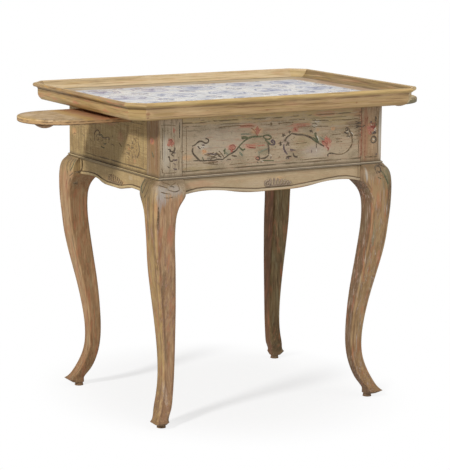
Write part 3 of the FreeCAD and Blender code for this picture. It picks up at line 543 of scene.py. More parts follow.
# Bead: a thin half-round strip nailed all round under the frieze. It is rubbed light on its
# crown, painted shade darkens its top and foot where it meets the rail, and dark dirt lies in
# the scratch along its middle.
def bead_finish(name, axis, tones, seed):
    f = Finish(name)
    streak = old_paint(f, axis, tones, seed)[0]
    level = f.z - BEAD_FOOT
    crown = f.line(level, 0.0043, 0.0005, 0.0008).most(f.line(level, 0.0013, 0.0005, 0.0007))
    f.lay(crown * 0.55, *tones[3])
    # The dark lines at the bead's top and foot are painted shade where it meets the rail; the middle one is a
    # scratch.
    scratch_and_crease_shade = f.line(level, 0.0028, 0.0004, 0.0008).most(f.line(level, 0.006, 0.0004, 0.001))
    f.lay(scratch_and_crease_shade.most(f.line(level, 0, 0.0005, 0.0009)) * 0.85, 62, 50, 38)
    return f.done(0.6 + 0.1 * streak, streak, 0.0005, 0.3)


dress(bead_finish("bead_paint_side", 0, GREY_PAINT, 81), "front_bead", "back_bead")
dress(bead_finish("bead_paint_end", 1, OCHRE_PAINT, 85), "left_bead", "right_bead")


# Legs: four cabriole legs, each sawn and carved from one post of beech, its square top level
# with the frieze and painted like it. Below the knee the wood shows brown through worn
# paint, in soft streaks down the leg, with red and green left in the grain.
LEG_OUT = (
    (0.002, 9), (0.009, 9), (0.016, 14), (0.032, 2), (0.04, -3), (0.065, -13), (0.1, -22.3),
    (0.14, -24.8), (0.2, -20), (0.265, -9.8), (0.33, 2.8), (0.39, 12.7), (0.44, 17.4),
    (0.475, 20.2), (0.519, 21.5), (0.541, 20.6), (0.556, 18.3), (0.569, 12.5), (0.5785, 5.4),
    (0.585, 0), (0.719, 0),
)
LEG_IN = (
    (0.002, -21), (0.02, -23), (0.04, -35.7), (0.065, -45.5), (0.1, -53.4), (0.14, -56.6),
    (0.2, -55.4), (0.265, -50.9), (0.33, -44), (0.39, -37.6), (0.44, -33.5), (0.475, -33.5),
    (0.501, -36.7), (0.519, -43.5), (0.531, -51.9), (0.541, -58), (0.719, -58),
)
UMBER = (96, 70, 48)


def leg_finish(name, side, end, face_tones, post_tones, seed, stains):
    """face_tones are the colours of the end, side, inner end and inner side faces; the inner ones are darker,
    as painted shade.
    """
    end_face, side_face, inner_end, inner_side = face_tones
    f = Finish(name, end_face)
    reach = f.curve(f.z, -30, 30, LEG_OUT) * 0.001
    heel = f.curve(f.z, -60, -20, LEG_IN) * 0.001
    past_end = f.x * end - FRAME[0]
    past_side = f.y * side - FRAME[1]
    from_end, from_side = past_end - reach, past_side - reach
    in_end, in_side = past_end - heel, past_side - heel
    streak = f.mottle((0.0042, 0.0042, 0.1), 0, 4, 0.6, seed=seed, bend=0.35)
    fine = f.mottle((0.0016, 0.0016, 0.045), 0, 3, 0.6, seed=seed + 2)
    patch = f.mottle((0.014, 0.014, 0.055), 0, 3, 0.6, seed=seed + 4)
    other = f.mottle((0.012, 0.012, 0.07), 0, 3, 0.6, seed=seed + 6)
    on_end = f.rise(from_end, -0.0055, -0.0015)
    on_side = f.rise(from_side, -0.0055, -0.0015)
    f.lay(f.rise(in_end, 0.0055, 0.0015), *inner_end)
    f.lay(f.rise(in_side, 0.0055, 0.0015), *inner_side)
    f.lay(on_side, *side_face)
    f.lay(on_end, *end_face)
    f.tint(f.rise(patch, 0.42, 0.6) * 0.8, 222, 212, 200)
    f.tint(f.rise(streak, 0.5, 0.68) * 0.85, 190, 172, 152)
    f.lay(f.rise(streak, 0.44, 0.28) * 0.35, 196, 168, 128)
    f.lay(f.rise(other, 0.54, 0.66) * 0.48, 156, 96, 66)
    f.lay(f.rise(other, 0.43, 0.31) * 0.35, 128, 122, 92)
    f.tint(f.rise(fine, 0.54, 0.7) * 0.45, 182, 164, 144)
    worn = 0.6 * f.rise(streak, 0.3, 0.7) + 0.4 * f.rise(fine, 0.3, 0.7)
    for tone, share, on, *place in stains:
        aside, face = (f.x, on_side) if on == "side" else (f.y * -1, on_end)
        f.stain(tone, share, f.spot(aside, f.z, *place) * face, worn)
    f.tint(f.rise(f.z, 0.24, 0.03) * 0.7, 216, 208, 200)
    patchy_wear_and_shading = f.rise(f.mottle((0.01, 0.01, 0.05), seed=seed + 8), 0.36, 0.6)
    edge = from_end.least(from_side)
    # A lighter strip along the outer arris is wear and painted highlight, and the dark lines near both
    # arrises are painted shade along the leg's edges.
    f.lay(f.rise(edge, -0.0065, -0.0035) * patchy_wear_and_shading * 0.3, 188, 158, 116)
    f.lay(f.line(edge, -0.008, 0.0008, 0.0028) * patchy_wear_and_shading * 0.6, *UMBER)
    f.lay(f.line(in_end.least(in_side), 0.0048, 0.0008, 0.0026) * patchy_wear_and_shading * 0.6, *UMBER)
    f.lay(f.rise(f.z, 0.03, 0.004) * 0.55, 92, 72, 52)
    brown = f.colour
    coat_streak, coat_fine = old_paint(f, 2, post_tones, seed + 9)
    for tone, share, on, *place in stains:
        aside = f.x if on == "side" else f.y * -1
        away = from_side if on == "side" else from_end
        spot = f.spot(aside, f.z, *place) * f.rise(away, -0.003, -0.001)
        f.stain(tone, share, spot, 0.5 * coat_streak + 0.5 * coat_fine)
    shaded = f.rise(f.z, BEAD_TOP + 0.0085, BEAD_TOP + 0.001) * f.rise(f.z, 0.564, 0.574)
    f.lay(shaded * 0.55, 84, 70, 50)
    # Painted shade just under the tray.
    f.lay(f.rise(f.z, RIM_FOOT - 0.0065, RIM_FOOT - 0.002) * 0.45, 92, 76, 52)
    corner = f.rise(past_end.least(past_side), -0.0022, -0.0008)
    f.lay(corner * patchy_wear_and_shading * 0.5, 150, 130, 104)
    knee = f.rise(f.z + 0.05 * (streak - 0.5) + 0.04 * (patch - 0.5), 0.53, 0.562) * 0.85
    post = f.rise(f.z, 0.5745, 0.58).most(knee)
    f.colour = f.over(brown, post, f.colour)
    return f.done(0.58 + 0.16 * streak, streak + 0.6 * fine, 0.0007, 0.28)


KNEE_CHALK = (153, 149, 144)
# Each leg: its side, its end, the tones of its faces, the paint of its post, a seed, and its
# stains with the face that each is on.
# The inner faces, and all faces of the two right legs, which stand in the table's shade, are given darker
# tones as painted shade.
LEGS = {
    "front_left": (-1, -1, ((156, 129, 84), (158, 127, 95), (122, 96, 68), (118, 92, 66)), GREY_PAINT, 101, (
        (KNEE_CHALK, 0.8, "side", -306, 548, 22, 34), (KNEE_CHALK, 0.5, "side", -274, 556, 30, 20),
        (KNEE_CHALK, 0.6, "side", -312, 532, 10, 34), ((136, 106, 78), 0.75, "side", -285, 50, 44, 110),
        ((138, 110, 80), 0.6, "end", 205, 50, 44, 110),
        ((170, 108, 82), 0.55, "side", -284, 452, 14, 38), (UMBER, 0.55, "side", -292, 330, 7, 110),
        ((92, 62, 50), 0.6, "side", -281, 190, 7, 80), ((186, 168, 150), 0.8, "side", -277, 76, 8, 40),
        (UMBER, 0.85, "side", -316, 492, 5, 36), ((184, 144, 84), 0.7, "end", 196, 470, 12, 110),
        (UMBER, 0.55, "end", 222, 520, 6, 60), (UMBER, 0.5, "end", 205, 60, 14, 50),
        ((104, 80, 52), 0.8, "end", 238, 400, 9, 170), ((126, 96, 60), 1.0, "end", 205, 640, 60, 160),
        ((118, 84, 58), 0.8, "end", 216, 650, 9, 90), ((190, 116, 84), 0.7, "end", 196, 664, 16, 12),
        ((112, 94, 60), 0.9, "end", 202, 552, 40, 60), ((96, 78, 52), 0.7, "end", 214, 500, 12, 90),
        (ROSE, 0.55, "side", -274, 664, 16, 14), (CHALK, 0.35, "side", -285, 640, 16, 60),)),
    "front_right": (-1, 1, ((136, 109, 78), (146, 119, 84), (106, 82, 58), (104, 84, 58)), UMBER_PAINT, 121, (
        (PEACH, 0.12, "side", 270, 640, 24, 100), ((160, 92, 74), 0.6, "side", 268, 664, 14, 20),
        ((190, 118, 76), 0.75, "side", 298, 150, 10, 70), (GREEN_EARTH, 0.65, "side", 277, 410, 7, 50),
        (GREEN_EARTH, 0.8, "side", 308, 548, 10, 36), ((66, 54, 40), 1.0, "side", 324, 505, 22, 110),
        ((84, 72, 52), 0.7, "side", 318, 565, 12, 30), ((92, 88, 62), 0.8, "side", 306, 545, 18, 44),
        ((176, 112, 84), 0.6, "side", 297, 346, 7, 34), ((172, 112, 78), 0.6, "side", 284, 494, 9, 30),
        (CHALK, 0.6, "side", 250, 556, 5, 26), ((112, 96, 66), 0.6, "side", 264, 566, 18, 22),
        ((138, 98, 72), 0.75, "side", 256, 650, 13, 120), (CHALK, 0.7, "side", 298, 650, 6, 100),)),
    "back_left": (1, -1, ((162, 132, 97), (152, 125, 91), (130, 103, 71), (142, 112, 78)), OCHRE_PAINT, 141, (
        ((172, 112, 84), 0.5, "end", -228, 290, 8, 80), ((150, 80, 60), 0.55, "end", -206, 150, 6, 60),
        (UMBER, 0.5, "end", -232, 560, 12, 26), (PEACH, 0.5, "end", -205, 640, 18, 14),)),
    "back_right": (1, 1, ((136, 108, 78), (132, 105, 76), (116, 82, 52), (104, 86, 54)),
                   UMBER_PAINT, 161, ()),
}
for name, settings in LEGS.items():
    dress(leg_finish(f"leg_paint_{name}", *settings), f"{name}_leg")


# Slides: two pull-out boards under the top, one at each end, with a round outer end. They
# are rubbed to bare pale wood where a candlestick stood, and near the frieze they turn orange
# and darker, partly orange stain and partly painted shade under the tray. A turned knob under
# each is the pull, and two pegs under the heel are the stops.
# Half the width of a slide, which is how far its round end bows out.
SLIDE_BOW = 0.098


def slide_finish(name, end, tip, body, edge_tone, seed):
    """tip is how far out the round end stands, and end is -1 on the left and 1 on the right."""
    f = Finish(name, body)
    grain = f.mottle((0.1, 0.0032, 0.004), 0, 4, 0.6, seed=seed)
    cloud = f.mottle((0.05, 0.022, 0.022), 0, 4, seed=seed + 2)
    scuff = f.mottle((0.016, 0.016, 0.01), seed=seed + 6)
    scar = f.rise(scuff, 0.42, 0.58)
    f.tint(f.rise(cloud, 0.42, 0.62) * 0.8, 224, 214, 188)
    f.lay(f.rise(grain, 0.5, 0.66) * 0.7, 124, 98, 70)
    f.tint(f.rise(scuff, 0.52, 0.62) * 0.7, 214, 206, 190)
    f.lay(f.rise(grain, 0.44, 0.3) * 0.45, 212, 194, 162)
    bow = (tip - SLIDE_BOW - f.x * end).least(0)
    rim = f.reckon("SQRT", f.y * f.y + bow * bow)
    worn_rim = f.rise(rim + 0.01 * (grain - 0.5), SLIDE_BOW - 0.012, SLIDE_BOW - 0.004)
    f.lay(worn_rim * f.rise(f.z, 0.7082, 0.7092) * (0.3 + 0.45 * scar), 96, 76, 54)
    # Near the frieze: orange stain, and painted shade that darkens it.
    near = f.rise(f.x * end + 0.06 * (cloud - 0.5), tip - 0.105, tip - 0.175)
    f.lay(near * 0.75, 166, 104, 62)
    f.lay(near * f.rise(grain, 0.45, 0.62) * 0.6, 104, 68, 46)
    gold = f.rise(f.x * end, tip - 0.034, tip - 0.008)
    gold = gold + f.line(f.x * end + 0.03 * cloud, tip - 0.11, 0.004, 0.018)
    f.lay(gold.least(1) * 0.5, 186, 152, 88)
    f.lay(f.rise(f.z, 0.707, 0.7055) * 0.8, *edge_tone)
    f.lay(f.line(f.z + 0.002 * grain, 0.705, 0.0006, 0.0014) * scar * 0.7, 84, 66, 48)
    f.lay(f.rise(f.z, 0.701, 0.698) * (0.4 + 0.5 * scar), 78, 60, 44)
    return f.done(0.55 + 0.15 * grain, grain + 0.5 * scar, 0.0006, 0.3)


for name, end, tip, body, edge_tone, seed in (
        ("left", -1, 0.536, (190, 164, 128), (166, 132, 92), 201),
        ("right", 1, 0.5495, (150, 138, 104), (104, 98, 74), 211)):
    dress(slide_finish(f"leaf_wood_{name}", end, tip, body, edge_tone, seed), f"{name}_slide")
    dress(slide_finish(f"stop_wood_{name}", end, tip, (170, 140, 100), (150, 118, 80), seed + 30),
          f"{name}_slide_stops")

f = Finish("knob_wood", (146, 112, 78))
ring = f.mottle((0.05, 0.05, 0.0016), seed=221)
grain = f.mottle((0.004, 0.03, 0.004), seed=223)
f.lay(f.rise(ring, 0.45, 0.65) * 0.6, 104, 76, 50)
f.lay(f.rise(grain, 0.5, 0.72) * 0.5, 84, 60, 40)
dress(f.done(0.5 + 0.15 * ring, ring + grain, 0.0004, 0.3), "left_slide_knob", "right_slide_knob")


# Rocaille: a hooked scroll and a row of petals carved at the middle of each apron, left in the
# solid, picked out in dull violet and dark between the petals.
def rocaille_finish(name, axis, tones, seed):
    f = Finish(name)
    streak, fine = old_paint(f, axis, tones, seed)
    proud = abs(f.x if axis else f.y) - (FRAME[1 - axis] - 0.0015)
    f.lay(f.mottle((0.006, 0.006, 0.006), 0, 2, seed=seed + 3) * 0.7, 112, 92, 88)
    f.lay(f.rise(proud, 0.0017, 0.0006) * 0.85, 72, 56, 48)
    return f.done(0.6 + 0.1 * streak, streak + fine, 0.0006, 0.25)


dress(rocaille_finish("shell_paint_side", 0, GREY_PAINT, 401), "front_shell", "back_shell")
dress(rocaille_finish("shell_paint_end", 1, OCHRE_PAINT, 411), "left_shell", "right_shell")


# Painted ornament: scrolling stems with red blossoms, green leaves and dark curls, put on freely
# with a fine brush after the ground had dried, so that each stroke stands a hair proud. The
# strokes are rubbed, and the ground shows through them.
def brush_finish(name, tone, ground, seed, share=0.6):
    f = Finish(name, tone)
    dry = f.mottle((0.0036, 0.0036, 0.0028), 20, 3, 0.6, seed=seed)
    thin = f.mottle((0.02, 0.02, 0.014), 0, 2, seed=seed + 2)
    f.lay(f.rise(dry + 0.35 * thin, 0.6, 0.82) * share, *ground)
    f.tint(f.rise(dry, 0.42, 0.28) * 0.6, 176, 166, 160)
    return f.done(0.66 + 0.1 * dry, dry, 0.0002, 0.2)


inks = {
    "ink": brush_finish("ink_paint", (70, 60, 50), (128, 112, 90), 301),
    "green": brush_finish("leaf_paint", (70, 74, 54), (128, 118, 90), 311),
    "pale": brush_finish("pale_leaf_paint", (104, 108, 92), (142, 130, 106), 316, 0.8),
    "rose": brush_finish("blossom_paint", (154, 94, 79), (154, 122, 100), 321, 0.85),
    "maroon": brush_finish("blossom_heart_paint", (112, 54, 46), (150, 104, 86), 326, 0.6),
    "violet": brush_finish("curl_paint", (72, 60, 64), (134, 118, 104), 331),
    "orange": brush_finish("seed_paint", (176, 124, 84), (158, 136, 108), 341, 0.85),
    "umber": brush_finish("frame_line_paint", (88, 70, 50), (138, 120, 94), 351, 0.75),
    "sienna": brush_finish("red_line_paint", (124, 78, 58), (146, 120, 96), 361, 0.75),
    "chalk": brush_finish("worn_light_paint", (190, 184, 170), (160, 146, 124), 371, 0.7),
}

# Each stroke: width, where it starts along and up, then its steps along and up. Each
# blossom: along, up, reach, and half the number of its dabs. All are in mm.
FRONT_STROKES = {
    "ink": (
        (4.2, -184, 667, 6, 0, 4, -6, -5, -5, -7, 1, -5, 4, -8, 1, -7, -4, -5, -5, -7, -1),
        (4.4, -216, 648, -2, -7, 3, -7, 6, -6, 6, -6, 6, -5),
        (3.6, -214, 618, 14, 0, 12, -2, 12, 1, 14, -2, 12, 3, 13, -2),
        (3.6, -178, 622, 11, -1, 9, 5, 7, 5, 3, -7, 7, -2),
        (4.4, -137, 616, 8, 6, 10, 5, 10, 4, 8, 5, 6, 7), (4.4, -114, 624, 7, -2, 7, -1),
        (3.4, -126, 616, 10, -1), (4.2, -20, 652, 3, -8, 3, -10, 0, -14),
        (3.4, -50, 612, 4, 5, 6, -1, 2, -6, -6, -2, -6, 4), (3.8, -36, 612, 8, -1, 8, 3, 6, 4),
        (3.8, -203, 651, 3, -6, 4, -1),
        (5, 48, 665, 12, -3, 12, -1, 12, -2, 12, -4, 9, -5, 8, -6, 8, -5, 9, -5, 9, -5),
        (4.4, 48, 665, -7, -5, -7, -3, -4, -6, 3, -5), (4.6, 34, 610, 7, 2, 7, -1),
        (4.4, 52, 619, 2, -5, 4, -5, 6, 0), (4, 97, 668, 5, 1, 4, -5), (3.8, 117, 637, 0, -10),
        (4, 151, 604, -3, 4, 5, 4, 10, -1, 9, -2), (3.6, 197, 666, 5, 5, 5, -4, -4, -5, -5, 2),
        (4.2, 194, 660, 8, -3, 5, -4), (4.6, 209, 664, 4, -8, 7, -7), (4.6, 202, 650, 6, -2, 6, 2),
        (2.8, 104, 694, 5, -3, 5, 3), (2.6, 104, 684, 8, 3, 6, -5), (2.4, 118, 691, 12, 1, 20, -2),
        (2.6, 104, 678, 8, -3), (3, -170, 618, 10, 6, 8, -4), (3, 226, 684, 10, -6, 10, 4),
        (3.4, 228, 668, 10, 4, 10, -4, 8, 6), (3, 222, 676, 10, 4, 12, -4)),
    "green": (
        (4.4, -97, 641, 9, 9, 10, 7, 11, 5, 12, 2, 11, -1, 11, 0), (4.4, -94, 642, 6, -6, 5, -2, 5, 3),
        (4.6, -131, 641, -3, -7, 2, -6), (6, -88, 664, 10, 0, 8, -3, 8, 1),
        (4.4, -31, 663, 9, 3, 9, -2, 6, -4, -3, -4, -9, -1, -8, 3, -4, 5), (5, -24, 655, 6, -7, 8, -5),
        (3, -30, 606, 15, 0, 15, -2), (9, 106, 651, 8, -6, 8, -5), (6, 112, 662, 2, -8, 6, -7),
        (5, 113, 660, 1, -7, 7, -7)),
    "pale": (
        (6, -130, 632, 6, -6), (6, -93, 630, 5, -6, 4, -3), (4, -90, 671, 16, 1, 12, -3),
        (4.2, -41, 625, 8, 4, 9, 3, 8, 2), (3.6, -41, 630, -2, -8, 5, -4), (4.6, 126, 652, 7, -6, 8, -2)),
    "rose": (
        (4, -76, 646, 10, -2, 16, -1), (3.4, -44, 641, 10, 2, 9, -1), (3.4, -42, 684, -2, -8, -3, -6),
        (3, -35, 681, -6, -6, -3, -6), (4.4, 144, 650, 7, -5, 6, -7), (4, 62, 685, 12, -2, 12, -1)),
    "maroon": (
        (3, -118, 646, 6, 3, 6, -3, 2, -6, -5, -4, -6, 3, 3, 4), (2.6, -122, 641, 5, -5, 7, -3),
        (3.2, -74, 642, 13, -4, 11, -1), (3.4, 132, 641, 6, 1, 5, -5), (3, 146, 640, 3, -6, -5, -4),
        (3, 147, 627, 6, -5, -4, -5)),
    "violet": (
        (3.4, -180, 633, 10, -1, 9, -4, 8, 4), (4.6, -10, 643, 8, -3, 5, 4, -3, 7, -6, 2, -2, -5, 5, -2),
        (5.4, 27, 641, -1, -8, 3, -7, 5, -7, 3, -3), (4.6, 46, 627, 6, -1, 7, -1)),
    "umber": (
        (3, -178, 627, 12, -1, 10, -4), (3.4, -156, 634, 6, -5, 7, -2), (3, -176, 612, 16, -1, 10, 1),
        (3.6, 170, 609, 13, -2, 10, 1, 10, 4, 8, 7, 6, 9, 2, 10, -2, 10, -4, 8, -4, 12),
        (3.6, 222, 667, 7, 1), (3.4, 224, 658, 8, 3, 8, -2), (3.4, 224, 650, 8, 1, 8, -3),
        (2.6, 172, 637, 9, 1, 9, -1), (2.4, 172, 645, 8, -1, 9, 1), (3, 122, 678, 13, -1, 15, -1),
        (3, 66, 697, 18, -1), (3.2, -186, 630, 14, -2, 12, 6), (3, -148, 636, 8, -6, 6, -10),
        (2.6, -190, 612, 20, -4, 20, -2), (2.6, 10, 690, 20, 2, 22, -2), (2.6, -30, 691, 20, -2),
        (2.6, 60, 640, 30, 1), (2.4, 160, 690, 40, -2, 35, 2), (2.4, 160, 655, 25, 1),
        (2.4, 70, 601, 50, 1, 25, -1), (2.4, -120, 603, 40, 1), (2.4, -150, 690, 40, 2, 20, -1)),
    "sienna": (
        (3.2, -63, 684, 8, -4, 5, -8, 5, -7), (4, -92, 690, 16, 0, 20, -1), (3.2, 45, 685, 7, 0),
        (2.8, 64, 679, 36, 0), (3.2, 244, 700, 0.5, -50, -0.5, -50)),
    "chalk": (
        (2.6, -36, 607, 8, -3), (2.4, -12, 619, 6, -2), (3, -196, 649, 10, -1),
        (3, 118, 655, 4, -5, 2, -6), (2.6, 117, 624, 1, -6), (2.4, 199, 659, 8, 1),
        (2.6, 211, 652, -4, -7), (2.4, 216, 658, 5, -5), (2.6, 112, 690, 6, -4, 6, 4),
        (2.6, 106, 680, 6, -3, 6, 3)),
}
FRONT_BLOSSOMS = {
    "ink": (
        (-43, 603, 3.6, 4), (-34, 603, 3.6, 4), (-162, 610, 4, 4), (27, 661, 6.5, 7), (42, 668, 5, 5),
        (18, 643, 6.6, 8), (37, 641, 6.4, 7), (29, 650, 4.6, 4), (232, 672, 7, 7), (243, 662, 5, 5),
        (114, 660, 4.6, 5), (102, 668, 4.6, 4), (63, 609, 4, 4), (240, 650, 4.4, 4), (205, 657, 4.4, 4)),
    "green": ((-84, 662, 6, 6), (-133, 637, 4, 4), (-190, 621, 4.6, 5)),
    "rose": (
        (-113, 642, 12, 9), (-45, 677, 10, 9), (145, 638, 15, 14), (59, 673, 7.5, 6), (152, 622, 5, 5),
        (-44, 613, 5, 5)),
    "maroon": ((135, 640, 5, 5), (147, 636, 5, 5), (59, 672, 3.6, 4)),
    "violet": (
        (-190, 651, 6, 5), (-2, 645, 4, 4), (-8, 614, 4.4, 4), (50, 626, 6, 6), (38, 609, 5.4, 5),
        (104, 620, 4.4, 4)),
    "orange": ((-187, 636, 6.5, 6), (120, 669, 4, 4), (163, 670, 5, 5)),
    "umber": (
        (-70, 611, 3.6, 3), (55, 655, 3.4, 3), (14, 690, 4, 4), (-10, 690, 5, 5), (14, 612, 3.6, 4)),
}


def stroke(line, width, run, flip, chance):
    last = len(run) // 2 - 1
    spline = line.splines.new("NURBS")
    spline.points.add(last)
    for index, (along, height) in enumerate(zip(accumulate(run[::2]), accumulate(run[1::2]))):
        point = spline.points[index]
        swell = 0.5 + 0.5 * math.sin(math.pi * (0.1 + 0.8 * index / last))
        point.co = (flip * along / 1000, 0, height / 1000, 1)
        point.radius = width * swell * chance.uniform(0.8, 1.35)
    spline.order_u = 3
    spline.use_endpoint_u = True


def blossom(mesh, along, height, radius, count, chance):
    """Rough eight sided dabs thrown round a middle."""
    for _ in range(2 * count):
        angle = chance.uniform(0, 2 * math.pi)
        out = radius * chance.uniform(0.05, 0.75)
        lean = angle + chance.uniform(-0.7, 0.7)
        length = radius * chance.uniform(0.24, 0.42)
        breadth = length * chance.uniform(0.35, 0.65)
        rings = []
        for share, proud in ((1.0, 0.0), (0.75, 0.0006), (0.3, 0.0009)):
            rings.append([])
            for corner in range(8):
                a = math.cos(corner * math.pi / 4) * length * share
                b = math.sin(corner * math.pi / 4) * breadth * share
                x = along + out * math.cos(angle) + a * math.cos(lean) - b * math.sin(lean)
                z = height + out * math.sin(angle) + a * math.sin(lean) + b * math.cos(lean)
                rings[-1].append(mesh.verts.new((x / 1000, -proud, z / 1000)))
        for low, high in zip(rings, rings[1:]):
            for corner in range(8):
                after = (corner + 1) % 8
                mesh.faces.new((low[corner], low[after], high[after], high[corner]))
        mesh.faces.new(rings[2])
        mesh.faces.new(rings[0][::-1])


# Each face: how far it is turned from the front, and how far it is from the middle.
FACES = {"front": (0, FRAME[1]), "back": (180, FRAME[1]), "left": (270, FRAME[0]), "right": (90, FRAME[0])}
STROKE_THICKNESS = 0.22


def brushwork(name, face, strokes, blossoms, flip=1, carrier=None):
    """Strokes and blossoms on one face, one piece for each colour.

    A carrier is the leg whose round knee the strokes are laid on.
    """
    side, away = FACES[face]
    turn = Matrix.Rotation(math.radians(side), 4, "Z")
    outward = turn @ Vector((0, -1, 0))
    chance = random.Random(name)
    knee = None
    if carrier:
        skin = wood[carrier].data
        knee = BVHTree.FromPolygons([v.co for v in skin.vertices], [p.vertices for p in skin.polygons])
    for ink, finish in inks.items():
        mine, dabs = strokes.get(ink, ()), blossoms.get(ink, ())
        if not mine and not dabs:
            continue
        line = bpy.data.curves.new("stroke", "CURVE")
        line.dimensions = "3D"
        line.bevel_depth = 0.0005
        line.bevel_resolution = 1
        line.resolution_u = 5
        line.use_fill_caps = True
        for width, *run in mine:
            stroke(line, width, run, flip, chance)
        holder = bpy.data.objects.new("stroke", line)
        drawn = bpy.data.meshes.new_from_object(holder)
        bpy.data.objects.remove(holder)
        mesh = bmesh.new()
        mesh.from_mesh(drawn)
        for along, height, radius, count in dabs:
            blossom(mesh, flip * along, height, radius, count, chance)
        pressed = turn @ Matrix.Diagonal((1, STROKE_THICKNESS, 1, 1))
        bmesh.ops.transform(mesh, matrix=pressed, verts=mesh.verts)
        for vert in mesh.verts:
            depth = away
            if knee:
                flat = vert.co - outward * vert.co.dot(outward)
                hit = knee.ray_cast(flat + outward, -outward)[0]
                depth = hit.dot(outward) if hit else away
            vert.co += outward * depth
        bmesh.ops.recalc_face_normals(mesh, faces=mesh.faces)
        drawn = bpy.data.meshes.new(f"{name}_{ink}")
        mesh.to_mesh(drawn)
        piece = bpy.data.objects.new(f"{name}_{ink}", drawn)
        bpy.context.collection.objects.link(piece)
        for polygon in drawn.polygons:
            polygon.use_smooth = True
        drawn.materials.append(finish)
        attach(piece, "frame")


FRAME_LINES = {
    "umber": (
        (2, -232.5, 698, -0.5, -38, 1, -40, -1, -26), (1.8, -238, 695, 6, 2, 6, -1),
        (1.8, 237, 700, 0.5, -40, -1, -40, 0.5, -23), (2, 205, 678, 17, -2, 14, 1),
        (1.6, 218, 671, 16, 1), (1.6, 108, 692, 22, -2, 20, 0), (1.6, 110, 678, 20, -1, 20, -1),
        (1.6, -196, 708, 10, 1), (1.4, -164, 707, 10, -1)),
}
for face in ("front", "back"):
    brushwork(f"{face}_ornament", face, FRONT_STROKES, FRONT_BLOSSOMS)
    brushwork(f"{face}_frame_lines", face, FRAME_LINES, {})

RIGHT_POST = {
    "ink": (
        (4.4, 284, 693, 3, -7, -3, -6), (4.6, 272, 637, 2, 6, 7, 2, 6, -5, -1, -8, -7, -4, -6, 3, -1, 6),
        (4.4, 275, 650, 7, 3, 6, -1)),
    "rose": ((5, 266, 668, 1, -8, 1, -10),),
    "maroon": (
        (4.4, 270, 668, 8, -2, 7, 3), (3.6, 273, 678, 6, -5, 6, 4), (3.4, 270, 657, 4, -5, -3, -4)),
    "violet": ((3.6, 274, 652, 7, 2, 6, 4),),
    "umber": ((3.2, 257, 596, 15, -1, 20, 1), (1.8, 292, 700, 0.5, -50, -0.5, -50)),
    "sienna": (
        (3.2, 255.5, 700, 0.5, -50, -1, -50), (4.6, 262, 694, -4, -10, 3, -8),
        (2, 246, 690, 0.5, -50, -0.5, -40)),
    "chalk": ((5, 277, 638, 5, -2), (2.6, 275, 660, 6, 1), (2.4, 270, 673, 6, -2)),
}
RIGHT_POST_BLOSSOMS = {
    "ink": ((286, 672, 4, 4),),
    "rose": ((271, 664, 12, 11),),
    "maroon": ((279, 668, 7, 8), (270, 655, 5, 5)),
    "violet": ((272, 680, 5, 5), (289, 600, 3.6, 4)),
    "orange": ((266, 672, 4.5, 4),),
    "umber": ((258, 596, 4.4, 5),),
    "chalk": ((284, 660, 5, 4),),
}
LEFT_POST = {
    "ink": (
        (2.8, -250, 708, 0, -18, -1, -18), (4, -280, 648, 7, 0, -3, -6, 8, 1),
        (4.2, -263, 652, 1, -6, -6, -6, -4, -5, 7, -3), (4, -280, 630, 3, 4, 1, -8, 2, -6, 7, 1),
        (3.6, -281, 610, 5, -4)),
    "rose": ((4, -265, 697, -1, -7, 2, -6),),
    "maroon": ((3.2, -279, 668, 6, 3, 5, -5, -4, -6), (2.8, -281, 660, 5, -4)),
    "violet": ((4.4, -268, 624, 6, -2, 6, 1), (3.6, -266, 616, 6, -4), (3.6, -266, 604, 4, -3, 5, 1)),
    "umber": (
        (2.2, -294, 697, -0.5, -37, 0.5, -35), (2.8, -296, 608, 2, -8, 0, -5),
        (2.4, -294, 596, 14, -2, 20, 0), (2.4, -247, 640, 7, 1), (1.8, -260, 700, -25, 5, -13, -2),
        (2.2, -252, 630, -0.5, -15, 0.5, -15)),
}
LEFT_POST_BLOSSOMS = {
    "rose": ((-273, 664, 11.5, 9), (-263, 690, 4, 4)),
    "violet": ((-262, 640, 4, 4),),
}
for face in ("front", "back"):
    brushwork(f"{face}_right_post", face, RIGHT_POST, RIGHT_POST_BLOSSOMS)
    brushwork(f"{face}_left_post", face, LEFT_POST, LEFT_POST_BLOSSOMS)

END_STROKES = {
    "green": (
        (3.2, -70, 645, 8, 5, 10, -2, 7, -7), (3.4, -46, 630, 8, -3, 6, 5), (3, -60, 622, 10, -5, 8, 3)),
    "umber": (
        (4, 123, 617, 8, 7, 4, 11, -2, 11, -6, 8), (3.4, 98, 654, 3, -5, -2, -4),
        (3.2, 108, 660, 5, -2, 5, -5), (3, 72, 640, 8, 3, 7, -3), (3.4, 93, 637, 7, -1, 7, 2),
        (3.6, 70, 624, 8, -3, 8, 2), (3.2, 98, 622, 4, -5, -2, -6), (3.2, 113, 624, 4, -5, -3, -6),
        (2.8, 76, 614, 6, -1), (2.8, 64, 632, 4, -4), (2.8, 108, 646, 6, 2),
        (3.6, -94, 630, -3, 12, 6, 11, 11, 5, 12, -3, 6, -8), (3.2, -86, 640, 8, 10, 12, -2),
        (3.2, -62, 647, 12, -5, 14, 1, 12, 5, 12, -3), (3.4, -8, 632, 10, 2, 8, -4),
        (3.4, 34, 640, 6, -3, 8, -5), (3, -22, 645, 6, -5, -4, -6), (3, -160, 640, 6, -6, 8, 2),
        (2.8, -118, 632, 8, -4), (1.8, 155, 705, 0.5, -55, -0.5, -52),
        (1.6, 148, 705, 0.5, -55, -0.5, -50), (1.8, -164, 700, -0.5, -50, 0.5, -50),
        (1.6, -150, 690, -0.5, -40, 0.5, -50)),
}
